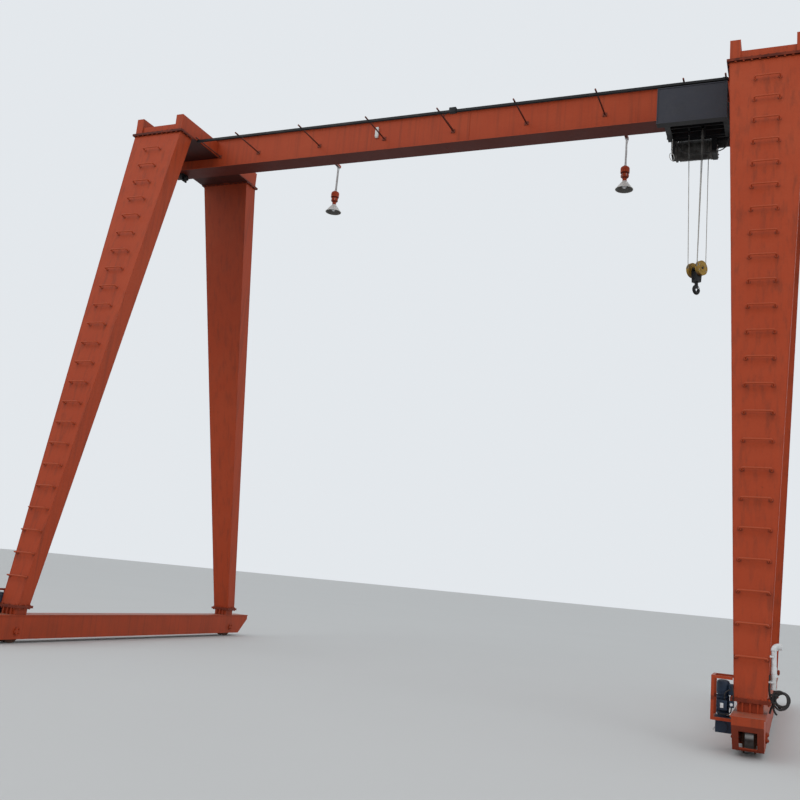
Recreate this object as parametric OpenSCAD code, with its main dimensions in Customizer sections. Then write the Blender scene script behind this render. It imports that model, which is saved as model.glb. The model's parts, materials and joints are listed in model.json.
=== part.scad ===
// Single-girder gantry crane with two A-frames, welded ladder rungs,
// a low-headroom rope hoist, hanging floodlights and rail wheels.
// Millimetres, +X along the girder, +Y along the rails, +Z up.
// The origin is on the ground under the middle of the crane.

/* [Portal] */
// distance between the centre planes of the two A-frames
span = 8740; // [6000:10:12000]
// height of the joint between a leg and its saddle
leg_top_z = 7598; // [6000:1:9000]
// height of the joint between a leg and its pedestal
leg_foot_z = 450; // [420:1:700]
// how far the girder reaches past each A-frame's centre plane
girder_overhang = 490; // [450:5:600]

/* [Girder] */
// width of the top and bottom flanges
girder_width = 325; // [280:5:420]
// overall height of the girder
girder_height = 505; // [400:5:700]
// underside of the girder below the leg joint
girder_drop = 178; // [150:1:240]
// flange thickness
girder_flange_t = 12; // [8:1:20]
// web thickness
girder_web_t = 8; // [5:1:14]
// flange edge to web face
girder_ledge = 58; // [50:1:80]
// face of a trolley stop's buffer past the A-frame's centre plane
stop_reach = 180; // [-100:5:300]
// diameter of a stop's rubber buffer
buffer_d = 70; // [40:2:90]
// length of a stop's rubber buffer
buffer_l = 60; // [40:2:90]
// diameter of the drain holes in the bottom plates
drain_d = 20; // [10:1:40]
// drain hole from the girder's end
drain_inset = 100; // [60:10:400]

/* [Legs] */
// leg width along the girder at the foot
leg_foot_w = 276; // [220:1:400]
// leg width along the girder at the top
leg_top_w = 855; // [600:5:1000]
// leg depth along the rails at the foot
leg_foot_d = 200; // [150:5:300]
// leg depth along the rails at the top
leg_top_d = 276; // [200:2:360]
// outer face of the foot from the middle of the crane
leg_foot_y = 2495; // [2000:5:3000]
// outer face of the leg's top from the middle of the crane
leg_top_y = 1078; // [950:2:1300]
// thickness of the leg's plates
leg_plate_t = 8; // [5:1:14]
// thickness of the bolted flanges
flange_t = 16; // [10:1:30]
// rim of the bolted flanges around the leg
flange_rim = 32; // [20:1:40]
// share of a flange that is open inside the leg
flange_open = 0.6; // [0.3:0.05:0.8]

/* [Saddles] */
// height of the saddle's side beams
saddle_h = 270; // [200:5:300]
// width of each side beam
saddle_beam_w = 120; // [80:5:180]
// height of the low plate between the side beams
saddle_lip_h = 130; // [60:5:200]
// plate thickness of the saddle
saddle_t = 12; // [8:1:20]

/* [Ladders] */
// distance between rungs
rung_pitch = 300; // [250:5:350]
// number of rungs on each ladder
rung_count = 23; // [15:1:26]
// first rung below the leg joint, along the leg
rung_start = 300; // [200:10:500]
// width of a rung
rung_w = 290; // [240:5:400]
// clear edge of the leg's face beside a rung
rung_edge = 12; // [5:1:60]
// rung centre to the leg's face
rung_standoff = 70; // [50:5:160]
// rung bar diameter
rung_d = 18; // [12:1:25]

/* [Ground beams] */
// height of the beam
beam_h = 300; // [250:5:400]
// beam underside above the ground
beam_z = 50; // [30:5:100]
// beam width
beam_w = 260; // [240:5:360]
// half length of the beam's straight part
beam_half = 2720; // [2500:10:3200]
// reach of the sloped nose
nose_l = 250; // [100:5:350]
// height of the nose's tip
nose_tip_h = 72; // [40:2:120]
// plate thickness of the beam
beam_t = 10; // [6:1:16]
// overhang of the beam's top plate
beam_lip = 12; // [4:1:25]
// width of the window in the nose
window_w = 150; // [100:5:200]
// drain hole in the beam inward from the wheel pocket
trap_gap = 300; // [100:10:600]

/* [Travel wheels] */
// flange diameter of a wheel
wheel_flange_d = 300; // [260:2:360]
// tread diameter of a wheel
wheel_tread_d = 262; // [230:2:330]
// overall width of a wheel
wheel_w = 110; // [80:2:140]
// width of the tread between the flanges
wheel_tread_w = 74; // [50:2:100]
// axle diameter
axle_d = 55; // [40:1:80]
// radial running clearance of the axle in the wheel
axle_clear = 0.05; // [0.01:0.01:0.1]
// wheel centre from the end of the beam's straight part
wheel_inset = 280; // [200:5:500]
// hub diameter of a wheel
wheel_hub_d = 120; // [90:2:160]
// hub length of a wheel
wheel_hub_w = 150; // [120:2:200]

/* [Travel drives] */
// diameter of the upright motor
drive_motor_d = 110; // [90:2:130]
// length of the upright motor
drive_motor_l = 250; // [160:5:290]
// motor axis outside the edge of the beam's top plate
drive_dx = -92; // [-110:1:-80]
// width of the gearbox
gear_w = 136; // [100:2:150]
// top of the gearbox above the ground
gear_top_z = 285; // [260:5:300]
// width of the drive's guard cage from the beam
cage_w = 185; // [160:5:260]
// length of the cage along the beam
cage_l = 330; // [260:5:420]
// top of the cage above the ground
cage_top_z = 645; // [560:5:760]
// cage bar size
cage_bar = 26; // [20:1:32]

/* [Power track] */
// arm length from the web
arm_reach = 680; // [500:5:800]
// arm height above the girder's underside
arm_up = 200; // [120:5:260]
// arm bar diameter
arm_d = 22; // [14:1:32]
// distance between the arms
arm_pitch = 1090; // [800:5:1400]
// position of the arm nearest the middle
arm_first_x = 110; // [-400:5:400]
// end arm's centre to the nearest saddle flange
arm_end_gap = 34; // [32:1:200]
// track end past the last arm's centre
track_overrun = 25; // [15:1:31]
// half width of an arm's foot plate
arm_foot = 30; // [20:1:31]
// track profile height and width
track_size = 32; // [24:1:48]
// track wall thickness
track_t = 3; // [2:0.5:5]
// width of the slot under the track
track_slot = 12; // [8:1:20]
// track centre from the arm's tip
track_inset = 80; // [30:5:160]

/* [Floodlights] */
// the two lamps' places along the girder
lamp_x = [-2290, 2400]; // [-3500:5:3500]
// lamp centre beside the girder
lamp_y = 950; // [850:5:1100]
// lamp arm's centre below the girder's top
lamp_arm_drop = 120; // [90:5:220]
// lamp arm bar size
lamp_arm_s = 40; // [25:1:60]
// hanger tube diameter
hanger_d = 24; // [16:1:40]
// length of the hanger tube
hanger_l = 440; // [250:5:700]
// diameter of the gear housing
lamp_case_d = 130; // [100:2:200]
// length of the gear housing
lamp_case_h = 225; // [120:5:260]
// mouth diameter of the reflector
lamp_mouth_d = 255; // [220:1:420]
// height of the reflector
lamp_bell_h = 130; // [90:2:200]
// reflector wall thickness
lamp_wall = 3; // [2:0.5:6]

/* [Conduit] */
// outer diameter of the upright pipe
pipe_d = 46; // [36:1:90]
// height of the pipe's top above the ground
pipe_top_z = 940; // [700:10:1200]
// height of the pipe's foot above the ground
pipe_foot_z = 560; // [530:5:640]
// outer diameter of the pipe's elbow and socket
socket_d = 58; // [44:1:100]
// gap from the elbow to the leg
pipe_gap = 2; // [1:0.5:20]
// diameter of the black cable
cable_d = 24; // [12:1:36]
// radius of the cable's loop
cable_loop_r = 60; // [40:1:80]
// loop centre below the pipe's foot
cable_drop = 75; // [50:5:120]

/* [Trolley] */
// trolley centre at rest, inside the right A-frame's centre plane
trolley_inset = 885; // [880:5:2000]
// length of the counterweight box
weight_l = 830; // [600:5:1000]
// height of the counterweight box
weight_h = 480; // [300:5:520]
// thickness of the counterweight box
weight_t = 110; // [60:5:150]
// outer face of the counterweight from the girder's centre
weight_y = 755; // [700:5:770]
// top of the counterweight below the arms' centre line
weight_gap = 80; // [60:2:140]
// trolley wheel diameter
roller_d = 118; // [90:2:140]
// trolley wheel width
roller_w = 44; // [30:1:52]
// distance between the trolley's axles
roller_base = 560; // [400:5:700]
// stub axle diameter of a trolley wheel
stub_d = 34; // [24:1:50]
// side plate thickness
cheek_t = 14; // [8:1:20]
// gap from the flange edge to the side plate
cheek_gap = 26; // [15:1:50]
// length of the side plates
cheek_l = 820; // [700:5:1000]
// cross tube height
cross_h = 80; // [50:5:120]
// cross tube width
cross_w = 70; // [50:5:110]
// cross tube under the girder
cross_gap = 20; // [10:1:50]

/* [Hoist] */
// drum diameter
drum_d = 290; // [200:5:320]
// drum length
drum_l = 470; // [300:5:520]
// drum centre to the left of the trolley's centre
drum_shift = 75; // [40:5:110]
// thickness of the bearing housing at the drum's left end
bearing_t = 50; // [20:2:70]
// drum axis beside the girder's centre
drum_y = 425; // [380:5:480]
// drum axis below the girder's underside
drum_drop = 175; // [150:5:220]
// rope groove pitch on the drum
groove_pitch = 16; // [10:1:25]
// rope diameter
rope_d = 11; // [8:0.5:16]
// hoist motor diameter
hoist_motor_d = 180; // [140:5:200]
// hoist motor's axis above the drum's axis
motor_rise = 95; // [40:5:110]
// hoist motor length
hoist_motor_l = 150; // [100:5:260]
// centre of the limit ring below the cross tube
ring_drop = 255; // [100:5:300]
// bar diameter of the limit ring
ring_bar = 9; // [6:1:14]
// radius of the limit ring
ring_r = 50; // [30:1:70]
// limit ring beside the girder's centre
ring_y = 200; // [150:5:205]
// gearbox thickness
gearbox_t = 62; // [40:2:100]

/* [Hook block] */
// height of the hook block's sheave axle at rest
block_z = 5400; // [4800:5:5800]
// hook centre line beside the trolley's centre
block_dx = 50; // [-100:5:150]
// sheave diameter over its rims
sheave_d = 178; // [140:2:240]
// groove radius of the fixed sheave
top_sheave_r = 70; // [50:1:72]
// fixed sheave beside the hook's centre line
sheave_dx = 20; // [-60:1:40]
// rope anchor beside the hook's centre line
anchor_dx = -151; // [-200:1:-110]
// diameter of the guards around the sheaves
guard_d = 190; // [188:1:230]
// thickness of a guard
guard_t = 38; // [34:2:70]
// distance between the two sheaves
sheave_gap = 138; // [110:2:160]
// turn of the sheaves about the upright axis
sheave_turn = 34; // [0:1:60]
// diameter of the pin through the block's sheaves
block_pin_d = 30; // [20:1:40]
// thickness of the block's side straps
strap_t = 12; // [8:1:20]
// gap between a guard and a strap
strap_gap = 4; // [2:1:10]
// width of the cross head across the straps
head_w = 68; // [56:2:90]
// top of the cross head below the pin
head_drop = 140; // [125:5:180]
// height of the cross head
head_h = 32; // [20:1:50]
// diameter of the hook's shank in the cross head
shank_d = 26; // [18:1:36]
// nut diameter on the shank
nut_d = 46; // [36:2:60]
// nut height
nut_h = 20; // [12:1:30]
// hook centre below the pin
hook_drop = 270; // [240:5:320]
// bowl radius of the hook
hook_r = 44; // [30:1:70]
// forged thickness of the hook
hook_t = 42; // [24:1:60]
// turn of the hook about its shank
hook_turn = 59; // [0:1:90]

/* [Part] */
// which named piece to draw, or all

/* [Hidden] */
$fn = 64;
fine_fn = 32;
eps = 1;
seat_gap = 0.3;
paint_c = [0.72, 0.27, 0.13];
dark_c = [0.09, 0.09, 0.10];
grey_c = [0.33, 0.35, 0.37];
rust_c = [0.30, 0.11, 0.07];
zinc_c = [0.62, 0.63, 0.62];
white_c = [0.86, 0.85, 0.80];
teal_c = [0.10, 0.16, 0.18];
yellow_c = [0.72, 0.52, 0.08];
girder_z = leg_top_z - girder_drop;
girder_top = girder_z + girder_height;
girder_half = span / 2 + girder_overhang;
web_y = girder_width / 2 - girder_ledge;
ledge_z = girder_z + girder_flange_t;
leg_z0 = leg_foot_z + flange_t;
leg_z1 = leg_top_z - flange_t;
leg_rise = leg_z1 - leg_z0;
beam_top = beam_z + beam_h;
lean = atan((leg_foot_y - leg_top_y) / leg_rise);
wheel_y = beam_half - wheel_inset;
wheel_z = wheel_flange_d / 2;
wheel_bore = axle_d + 2 * axle_clear;
pedestal_y = leg_foot_y - leg_foot_d / 2;
pocket_y0 = wheel_y - wheel_flange_d / 2 - 30;
saddle_half = leg_top_w / 2 + flange_rim;
trolley_x = span / 2 - trolley_inset;
stop_x = span / 2 + stop_reach;
arm_z = girder_z + arm_up;
arm_end_x = span / 2 - saddle_half - arm_end_gap;
lamp_arm_z = girder_top - lamp_arm_drop;
lamp_top_z = lamp_arm_z - lamp_arm_s / 2 - hanger_l;
track_y = -(web_y + arm_reach - track_inset);
track_z = arm_z - arm_d / 2 - track_size / 2;
weight_top = arm_z - weight_gap;
roller_z = ledge_z + roller_d / 2 + seat_gap;
cheek_y = girder_width / 2 + cheek_gap;
cheek_top = roller_z + 60;
cross_z = girder_z - cross_gap - cross_h;
cheek_z = cross_z;
drum_z = girder_z - drum_drop;
block_x = trolley_x + block_dx;
pipe_x = span / 2 + leg_w_at(pipe_top_z) / 2 + socket_d / 2 + pipe_gap;
drum_x0 = trolley_x - drum_l / 2 - drum_shift;
drum_x1 = drum_x0 + drum_l;
rail_y = drum_y - drum_d / 2 + 2;
sheave_x = block_x + sheave_dx;
fall_r = sheave_d / 2 - rope_d / 2;
hook_z = block_z - hook_drop;
bell_z = lamp_top_z - lamp_case_h - lamp_bell_h;

// width of the leg along the girder at a height
function leg_w_at(z) = leg_foot_w + (leg_top_w - leg_foot_w) * (z - leg_z0) / leg_rise;
// outer face of the leg at a height
function leg_out_at(z) = leg_foot_y + (leg_top_y - leg_foot_y) * (z - leg_z0) / leg_rise;
// depth of the leg at a height
function leg_d_at(z) = leg_foot_d + (leg_top_d - leg_foot_d) * (z - leg_z0) / leg_rise;

// a box given by its low and high corners
module span_box(a, b) {
    translate(a)
        cube(b - a);
}

// an outline drawn in X and Z, thick along Y from y0 to y1
module extrude_y(y0, y1) {
    translate([0, y1, 0])
        rotate([90, 0, 0])
            linear_extrude(y1 - y0)
                children();
}

// an outline drawn in Y and Z, thick along X from x0 to x1
module extrude_x(x0, x1) {
    translate([x0, 0, 0])
        rotate([90, 0, 90])
            linear_extrude(x1 - x0)
                children();
}

// a rod along X from x0 to x1
module rod_x(x0, x1, d) {
    translate([x0, 0, 0])
        rotate([0, 90, 0])
            cylinder(d = d, h = x1 - x0);
}

// a rod along Z from z0 to z1
module cylinder_z(z0, z1, d) {
    translate([0, 0, z0])
        cylinder(d = d, h = z1 - z0);
}

// mirrored copy for the left or the near side
module at_side(sx, sy) {
    mirror([sx < 0 ? 1 : 0, 0, 0])
        mirror([0, sy < 0 ? 1 : 0, 0])
            children();
}

// welded box girder with drain holes, diaphragms and end plates
module main_girder() {
    color(paint_c) {
        difference() {
            span_box([-girder_half, -girder_width / 2, girder_z],
                     [girder_half, girder_width / 2, ledge_z]);
            for (x = [-girder_half + drain_inset, 0, girder_half - drain_inset])
                translate([x, 0, girder_z - eps])
                    cylinder(d = drain_d, h = girder_flange_t + 2 * eps, $fn = fine_fn);
        }
        span_box([-girder_half, -girder_width / 2, girder_top - girder_flange_t],
                 [girder_half, girder_width / 2, girder_top]);
        for (s = [-1, 1])
            span_box([-girder_half, s > 0 ? web_y - girder_web_t : -web_y, ledge_z],
                     [girder_half, s > 0 ? web_y : -web_y + girder_web_t,
                      girder_top - girder_flange_t]);
        for (x = [-girder_half, girder_half - girder_web_t])
            span_box([x, -web_y + girder_web_t, ledge_z],
                     [x + girder_web_t, web_y - girder_web_t, girder_top - girder_flange_t]);
    }
}

// trolley stops bolted under both girder ends
module girder_end_stops() {
    w = buffer_d;
    x = stop_x + buffer_l;
    color(dark_c)
        for (s = [-1, 1])
            at_side(s, 1)
                union() {
                    span_box([x - 20, -w, girder_z - 20], [x + 100, w, girder_z]);
                    span_box([x, -w, girder_z - 110], [x + 20, w, girder_z - 20]);
                    for (y = [-w, w - 12])
                        extrude_y(y, y + 12)
                            polygon([[x + 20, girder_z - 20], [x + 20, girder_z - 110],
                                     [x + 90, girder_z - 20]]);
                    translate([0, 0, girder_z - 70])
                        rod_x(stop_x, x, buffer_d);
                }
}

// outline prism of a leg, shrunk by an inset and stretched past both ends
module leg_prism(inset, extra) {
    z0 = leg_z0 - extra;
    z1 = leg_z1 + extra;
    intersection() {
        extrude_y(0, leg_foot_y * 2)
            polygon([[-leg_w_at(z0) / 2 + inset, z0], [leg_w_at(z0) / 2 - inset, z0],
                     [leg_w_at(z1) / 2 - inset, z1], [-leg_w_at(z1) / 2 + inset, z1]]);
        extrude_x(-leg_top_w, leg_top_w)
            polygon([[leg_out_at(z0) - inset, z0], [leg_out_at(z1) - inset, z1],
                     [leg_out_at(z1) - leg_d_at(z1) + inset, z1],
                     [leg_out_at(z0) - leg_d_at(z0) + inset, z0]]);
    }
}

// flange plate around a leg end, open in the middle
module leg_flange(w, y_out, d, z) {
    difference() {
        span_box([-w / 2 - flange_rim, y_out - d - flange_rim, z],
                 [w / 2 + flange_rim, y_out + flange_rim, z + flange_t]);
        span_box([-w * flange_open / 2, y_out - d / 2 - d * flange_open / 2, z - eps],
                 [w * flange_open / 2, y_out - d / 2 + d * flange_open / 2, z + flange_t + eps]);
    }
}

// tapered box leg with a bolted flange at each end
module leg(sx, sy) {
    color(paint_c)
        at_side(sx, sy)
            translate([span / 2, 0, 0])
                union() {
                    difference() {
                        leg_prism(0, eps);
                        leg_prism(leg_plate_t, 2 * eps);
                    }
                    leg_flange(leg_foot_w, leg_foot_y, leg_foot_d, leg_foot_z);
                    leg_flange(leg_top_w, leg_top_y, leg_top_d, leg_z1);
                }
}

// saddle that joins a leg to the girder's web
module saddle(sx, sy) {
    y1 = leg_top_y + flange_rim;
    x1 = leg_top_w / 2 + flange_rim;
    xb = leg_top_w / 2;
    z0 = leg_top_z;
    color(paint_c)
        at_side(sx, sy)
            translate([span / 2, 0, 0])
                union() {
                    span_box([-x1, web_y, z0], [x1, y1, z0 + flange_t]);
                    for (s = [-1, 1])
                        mirror([s < 0 ? 1 : 0, 0, 0])
                            difference() {
                                span_box([xb - saddle_beam_w, web_y, z0 + flange_t],
                                         [xb, leg_top_y, z0 + saddle_h]);
                                span_box([xb - saddle_beam_w + saddle_t, web_y - eps,
                                          z0 + flange_t + saddle_t],
                                         [xb - saddle_t, leg_top_y - saddle_t,
                                          z0 + saddle_h - saddle_t]);
                            }
                    span_box([-xb + saddle_beam_w, leg_top_y - saddle_t - 20, z0 + flange_t],
                             [xb - saddle_beam_w, leg_top_y - 20, z0 + saddle_lip_h]);
                    span_box([-xb + saddle_beam_w, leg_top_y - leg_top_d, z0 + flange_t],
                             [xb - saddle_beam_w, leg_top_y - leg_top_d + saddle_t,
                              z0 + saddle_lip_h]);
                }
}

// one bent bar rung standing off the leg's face
module rung(w) {
    a = w / 2 - rung_d / 2;
    translate([0, -rung_standoff, 0])
        rod_x(-a, a, rung_d, $fn = fine_fn);
    for (s = [-1, 1]) {
        translate([s * a, 0, 0])
            rotate([90, 0, 0])
                cylinder(d = rung_d, h = rung_standoff, $fn = fine_fn);
        translate([s * a, -rung_standoff, 0])
            sphere(d = rung_d, $fn = fine_fn);
    }
}

// ladder of welded rungs up the near leg of one A-frame
module ladder(sx) {
    color(paint_c)
        translate([sx * span / 2, -leg_top_y, leg_z1])
            rotate([-lean, 0, 0])
                for (k = [0 : rung_count - 1]) {
                    s = rung_start + k * rung_pitch;
                    w = min(rung_w, leg_w_at(leg_z1 - s * cos(lean)) - 2 * rung_edge);
                    translate([0, 0, -s])
                        rung(w);
                }
}

// side outline of one end of a ground beam, from y0 to the nose
module beam_side(y0, inset) {
    polygon([[y0, beam_z + inset], [beam_half, beam_z + inset],
             [beam_half + nose_l - inset, beam_top - nose_tip_h],
             [beam_half + nose_l - inset, beam_top - inset], [y0, beam_top - inset]]);
}

// box beam on the rails, open under each wheel and sloped at both noses
module ground_beam(sx) {
    hw = beam_w / 2;
    color(paint_c)
        translate([sx * span / 2, 0, 0])
            difference() {
                union() {
                    for (s = [-1, 1])
                        mirror([0, s < 0 ? 1 : 0, 0])
                            extrude_x(-hw, hw)
                                beam_side(-eps, 0);
                    span_box([-hw - beam_lip, -beam_half - nose_l, beam_top - beam_t],
                             [hw + beam_lip, beam_half + nose_l, beam_top]);
                }
                span_box([-hw + beam_t, -pocket_y0 + beam_t, beam_z + beam_t],
                         [hw - beam_t, pocket_y0 - beam_t, beam_top - beam_t]);
                for (s = [-1, 1])
                    mirror([0, s < 0 ? 1 : 0, 0]) {
                        extrude_x(-hw + beam_t, hw - beam_t)
                            beam_side(pocket_y0, beam_t);
                        span_box([-hw + beam_t, pocket_y0, beam_z - eps],
                                 [hw - beam_t, beam_half - 90, beam_z + beam_t + eps]);
                        span_box([-window_w / 2, beam_half + 20, beam_z - eps],
                                 [window_w / 2, beam_half + nose_l - 55, beam_top - nose_tip_h - 8]);
                        translate([0, wheel_y, wheel_z])
                            rod_x(-hw - eps, hw + eps, axle_d);
                        translate([0, pocket_y0 - trap_gap, beam_z - eps])
                            cylinder(d = drain_d, h = beam_t + 2 * eps, $fn = fine_fn);
                    }
            }
}

// short ribbed stools between the beams and the legs
module leg_pedestals() {
    z1 = leg_foot_z - flange_t;
    wx = beam_w / 2 - 20;
    wy = leg_foot_d / 2;
    color(paint_c)
        for (sx = [-1, 1], sy = [-1, 1])
            translate([sx * span / 2, sy * pedestal_y, 0])
                union() {
                    difference() {
                        span_box([-wx, -wy, beam_top], [wx, wy, z1]);
                        span_box([-wx + beam_t, -wy + beam_t, beam_top - eps],
                                 [wx - beam_t, wy - beam_t, z1 + eps]);
                    }
                    difference() {
                        span_box([-leg_foot_w / 2 - flange_rim, -wy - flange_rim, z1],
                                 [leg_foot_w / 2 + flange_rim, wy + flange_rim, leg_foot_z]);
                        span_box([-wx / 2, -wy / 2, z1 - eps], [wx / 2, wy / 2, leg_foot_z + eps]);
                    }
                    for (x = [-wx + 40, -6, wx - 52], s = [-1, 1])
                        mirror([0, s < 0 ? 1 : 0, 0])
                            extrude_x(x, x + 12)
                                polygon([[wy, beam_top], [wy + flange_rim - 6, beam_top],
                                         [wy + flange_rim - 6, z1], [wy, z1]]);
                }
}

// fixed axles and their keeper plates
module wheel_axles() {
    hw = beam_w / 2;
    color(paint_c)
        for (sx = [-1, 1], sy = [-1, 1])
            translate([sx * span / 2, sy * wheel_y, wheel_z])
                union() {
                    rod_x(-hw - 14, hw + 14, axle_d);
                    rod_x(-hw - 14, -hw, axle_d + 40);
                    rod_x(hw, hw + 14, axle_d + 40);
                }
}

// double-flanged rail wheel with a recessed web
module wheel(sx, sy) {
    color(rust_c)
        translate([sx * span / 2, sy * wheel_y, wheel_z])
            rotate([0, 90, 0])
                rotate_extrude()
                    polygon([[wheel_bore / 2, -wheel_hub_w / 2], [wheel_hub_d / 2, -wheel_hub_w / 2],
                             [wheel_hub_d / 2, -wheel_w / 2 + 22],
                             [wheel_tread_d / 2 - 26, -wheel_w / 2 + 22],
                             [wheel_tread_d / 2 - 20, -wheel_w / 2],
                             [wheel_flange_d / 2, -wheel_w / 2],
                             [wheel_flange_d / 2, -wheel_tread_w / 2 - 6],
                             [wheel_tread_d / 2, -wheel_tread_w / 2],
                             [wheel_tread_d / 2, wheel_tread_w / 2],
                             [wheel_flange_d / 2, wheel_tread_w / 2 + 6],
                             [wheel_flange_d / 2, wheel_w / 2],
                             [wheel_tread_d / 2 - 20, wheel_w / 2],
                             [wheel_tread_d / 2 - 26, wheel_w / 2 - 22],
                             [wheel_hub_d / 2, wheel_w / 2 - 22],
                             [wheel_hub_d / 2, wheel_hub_w / 2],
                             [wheel_bore / 2, wheel_hub_w / 2]]);
}

// places its children at both travel drives, beside the near wheels
module at_drives() {
    for (sx = [-1, 1])
        translate([sx * span / 2 - beam_w / 2 - beam_lip, -wheel_y, 0])
            children();
}

// gearboxes bolted to the beams' flanks
module travel_gearboxes() {
    z0 = wheel_z;
    z1 = gear_top_z;
    color(teal_c)
        at_drives()
            union() {
                span_box([-gear_w - 12, -75, z0], [-12, 75, z1]);
                span_box([-12, -60, z1 - 78], [beam_lip, 60, z1 - 2]);
                translate([drive_dx, 0, z1])
                    cylinder(d = drive_motor_d + 16, h = 14);
                translate([drive_dx, -90, z0 + 50])
                    rotate([-90, 0, 0])
                        cylinder(d = 96, h = 16);
            }
}

// upright motors with a fan cowl
module travel_motors() {
    color(teal_c)
        at_drives()
            translate([drive_dx, 0, gear_top_z + 14])
                union() {
                    cylinder(d = drive_motor_d - 16, h = drive_motor_l - 70);
                    for (k = [0 : 4])
                        translate([0, 0, 12 + k * 34])
                            cylinder(d = drive_motor_d, h = 14);
                    translate([0, 0, drive_motor_l - 70])
                        cylinder(d = drive_motor_d, h = 52);
                    translate([0, 0, drive_motor_l - 18])
                        cylinder(d = drive_motor_d - 30, h = 18);
                }
}

// open cages of square bar around the motors
module drive_cages() {
    z0 = beam_top - 90;
    cage_end = beam_w / 2 + beam_lip - leg_w_at(cage_top_z) / 2 - 0.3;
    color(paint_c)
        at_drives()
            union() {
                for (y = [-cage_l / 2, cage_l / 2 - cage_bar]) {
                    span_box([-cage_w, y, z0], [-cage_w + cage_bar, y + cage_bar, cage_top_z]);
                    span_box([-cage_w, y, cage_top_z - cage_bar],
                             [cage_end, y + cage_bar, cage_top_z]);
                    span_box([-cage_w, y, z0], [beam_lip, y + cage_bar, z0 + cage_bar]);
                }
                span_box([-cage_w, -cage_l / 2, cage_top_z - cage_bar],
                         [-cage_w + cage_bar, cage_l / 2, cage_top_z]);
                span_box([-cage_w, -cage_l / 2, z0], [-cage_w + cage_bar, cage_l / 2, z0 + cage_bar]);
            }
}

// places of all arms along the girder
function arm_places() = concat([-arm_end_x], inner_arms(), [arm_end_x]);
// places of the evenly spaced arms that keep clear of the end arms
function inner_arms() = [for (k = [-6 : 6]) let (x = arm_first_x + k * arm_pitch)
                         if (abs(x) < arm_end_x - 4 * arm_foot) x];

// arms that carry the cable track in front of the girder
module festoon_arms() {
    color(rust_c)
        for (x = arm_places())
            translate([x, 0, arm_z])
                union() {
                    translate([0, -web_y, 0])
                        rotate([90, 0, 0])
                            cylinder(d = arm_d, h = arm_reach, $fn = fine_fn);
                    span_box([-arm_foot, -web_y - 6, -arm_foot], [arm_foot, -web_y, arm_foot]);
                }
}

// slotted track under the arms
module festoon_track() {
    half = arm_end_x + track_overrun;
    color(dark_c)
        translate([0, track_y, track_z])
            difference() {
                span_box([-half, -track_size / 2, -track_size / 2],
                         [half, track_size / 2, track_size / 2]);
                span_box([-half - eps, -track_size / 2 + track_t, -track_size / 2 + track_t],
                         [half + eps, track_size / 2 - track_t, track_size / 2 - track_t]);
                span_box([-half - eps, -track_slot / 2, -track_size],
                         [half + eps, track_slot / 2, 0]);
            }
}

// brackets that hold the lamps clear of the trolley
module lamp_arms() {
    color(paint_c)
        for (x = lamp_x)
            translate([x, 0, lamp_arm_z])
                union() {
                    span_box([-lamp_arm_s / 2, web_y, -lamp_arm_s / 2],
                             [lamp_arm_s / 2, lamp_y + 60, lamp_arm_s / 2]);
                    extrude_x(-4, 4)
                        polygon([[web_y, lamp_arm_s / 2], [web_y + 80, lamp_arm_s / 2],
                                 [web_y, lamp_arm_s / 2 + 60]]);
                }
}

// tubes that the lamps hang on
module lamp_hangers() {
    color(zinc_c)
        for (x = lamp_x)
            translate([x, lamp_y, 0])
                union() {
                    translate([0, 0, lamp_top_z])
                        cylinder(d = hanger_d, h = lamp_arm_z - lamp_arm_s / 2 - lamp_top_z);
                    translate([0, 0, lamp_arm_z - lamp_arm_s / 2 - 8])
                        cylinder(d = hanger_d * 2, h = 8);
                }
}

// ballast housings over the reflectors
module lamp_housings() {
    color(paint_c)
        for (x = lamp_x)
            translate([x, lamp_y, lamp_top_z - lamp_case_h])
                rotate_extrude()
                    scale([lamp_case_d, lamp_case_h])
                        polygon([[0, 0], [0.24, 0], [0.24, 0.17], [0.42, 0.27], [0.42, 0.45],
                                 [0.35, 0.5], [0.5, 0.56], [0.5, 0.86], [0.44, 0.94], [0.3, 1],
                                 [0, 1]]);
}

// open conical reflectors
module lamp_reflectors() {
    r0 = lamp_case_d * 0.24;
    r1 = lamp_mouth_d / 2;
    waist = r1 * 0.64;
    zw = lamp_bell_h / 2;
    color(white_c)
        for (x = lamp_x)
            translate([x, lamp_y, bell_z])
                rotate_extrude()
                    polygon([[r1, 0], [waist, zw], [r0, lamp_bell_h],
                             [0, lamp_bell_h], [0, lamp_bell_h - lamp_wall],
                             [r0 - lamp_wall, lamp_bell_h - lamp_wall],
                             [waist - lamp_wall, zw], [r1 - lamp_wall, 0]]);
}

// upright pipe with an elbow, clipped to the side of the right near leg
module conduit_pipe() {
    r = pipe_d * 0.8;
    bend_z = pipe_top_z - r;
    color(white_c)
        translate([pipe_x, -pedestal_y, 0])
            union() {
                translate([0, 0, pipe_foot_z])
                    cylinder(d = pipe_d, h = bend_z - pipe_foot_z);
                translate([r, 0, bend_z])
                    rotate([90, 0, 0])
                        rotate_extrude(angle = 90, start = 90)
                            translate([r, 0])
                                circle(d = socket_d);
                translate([0, 0, pipe_top_z])
                    rod_x(r, r + socket_d / 2, socket_d);
                for (z = [pipe_foot_z + 60, bend_z - 60])
                    span_box([span / 2 + leg_w_at(z + 16) / 2 - pipe_x, -pipe_d / 2 - 12, z],
                             [0, pipe_d / 2 + 12, z + 16]);
            }
}

// black flexible cable that leaves the pipe's foot and makes one loop
module supply_cable() {
    color(dark_c)
        translate([pipe_x + cable_d / 2, -pedestal_y, pipe_foot_z - cable_drop])
            union() {
                cylinder(d = cable_d, h = cable_drop);
                translate([cable_loop_r, 0, 0])
                    rotate([90, 0, 0])
                        rotate_extrude()
                            translate([cable_loop_r, 0])
                                circle(d = cable_d);
            }
}

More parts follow.
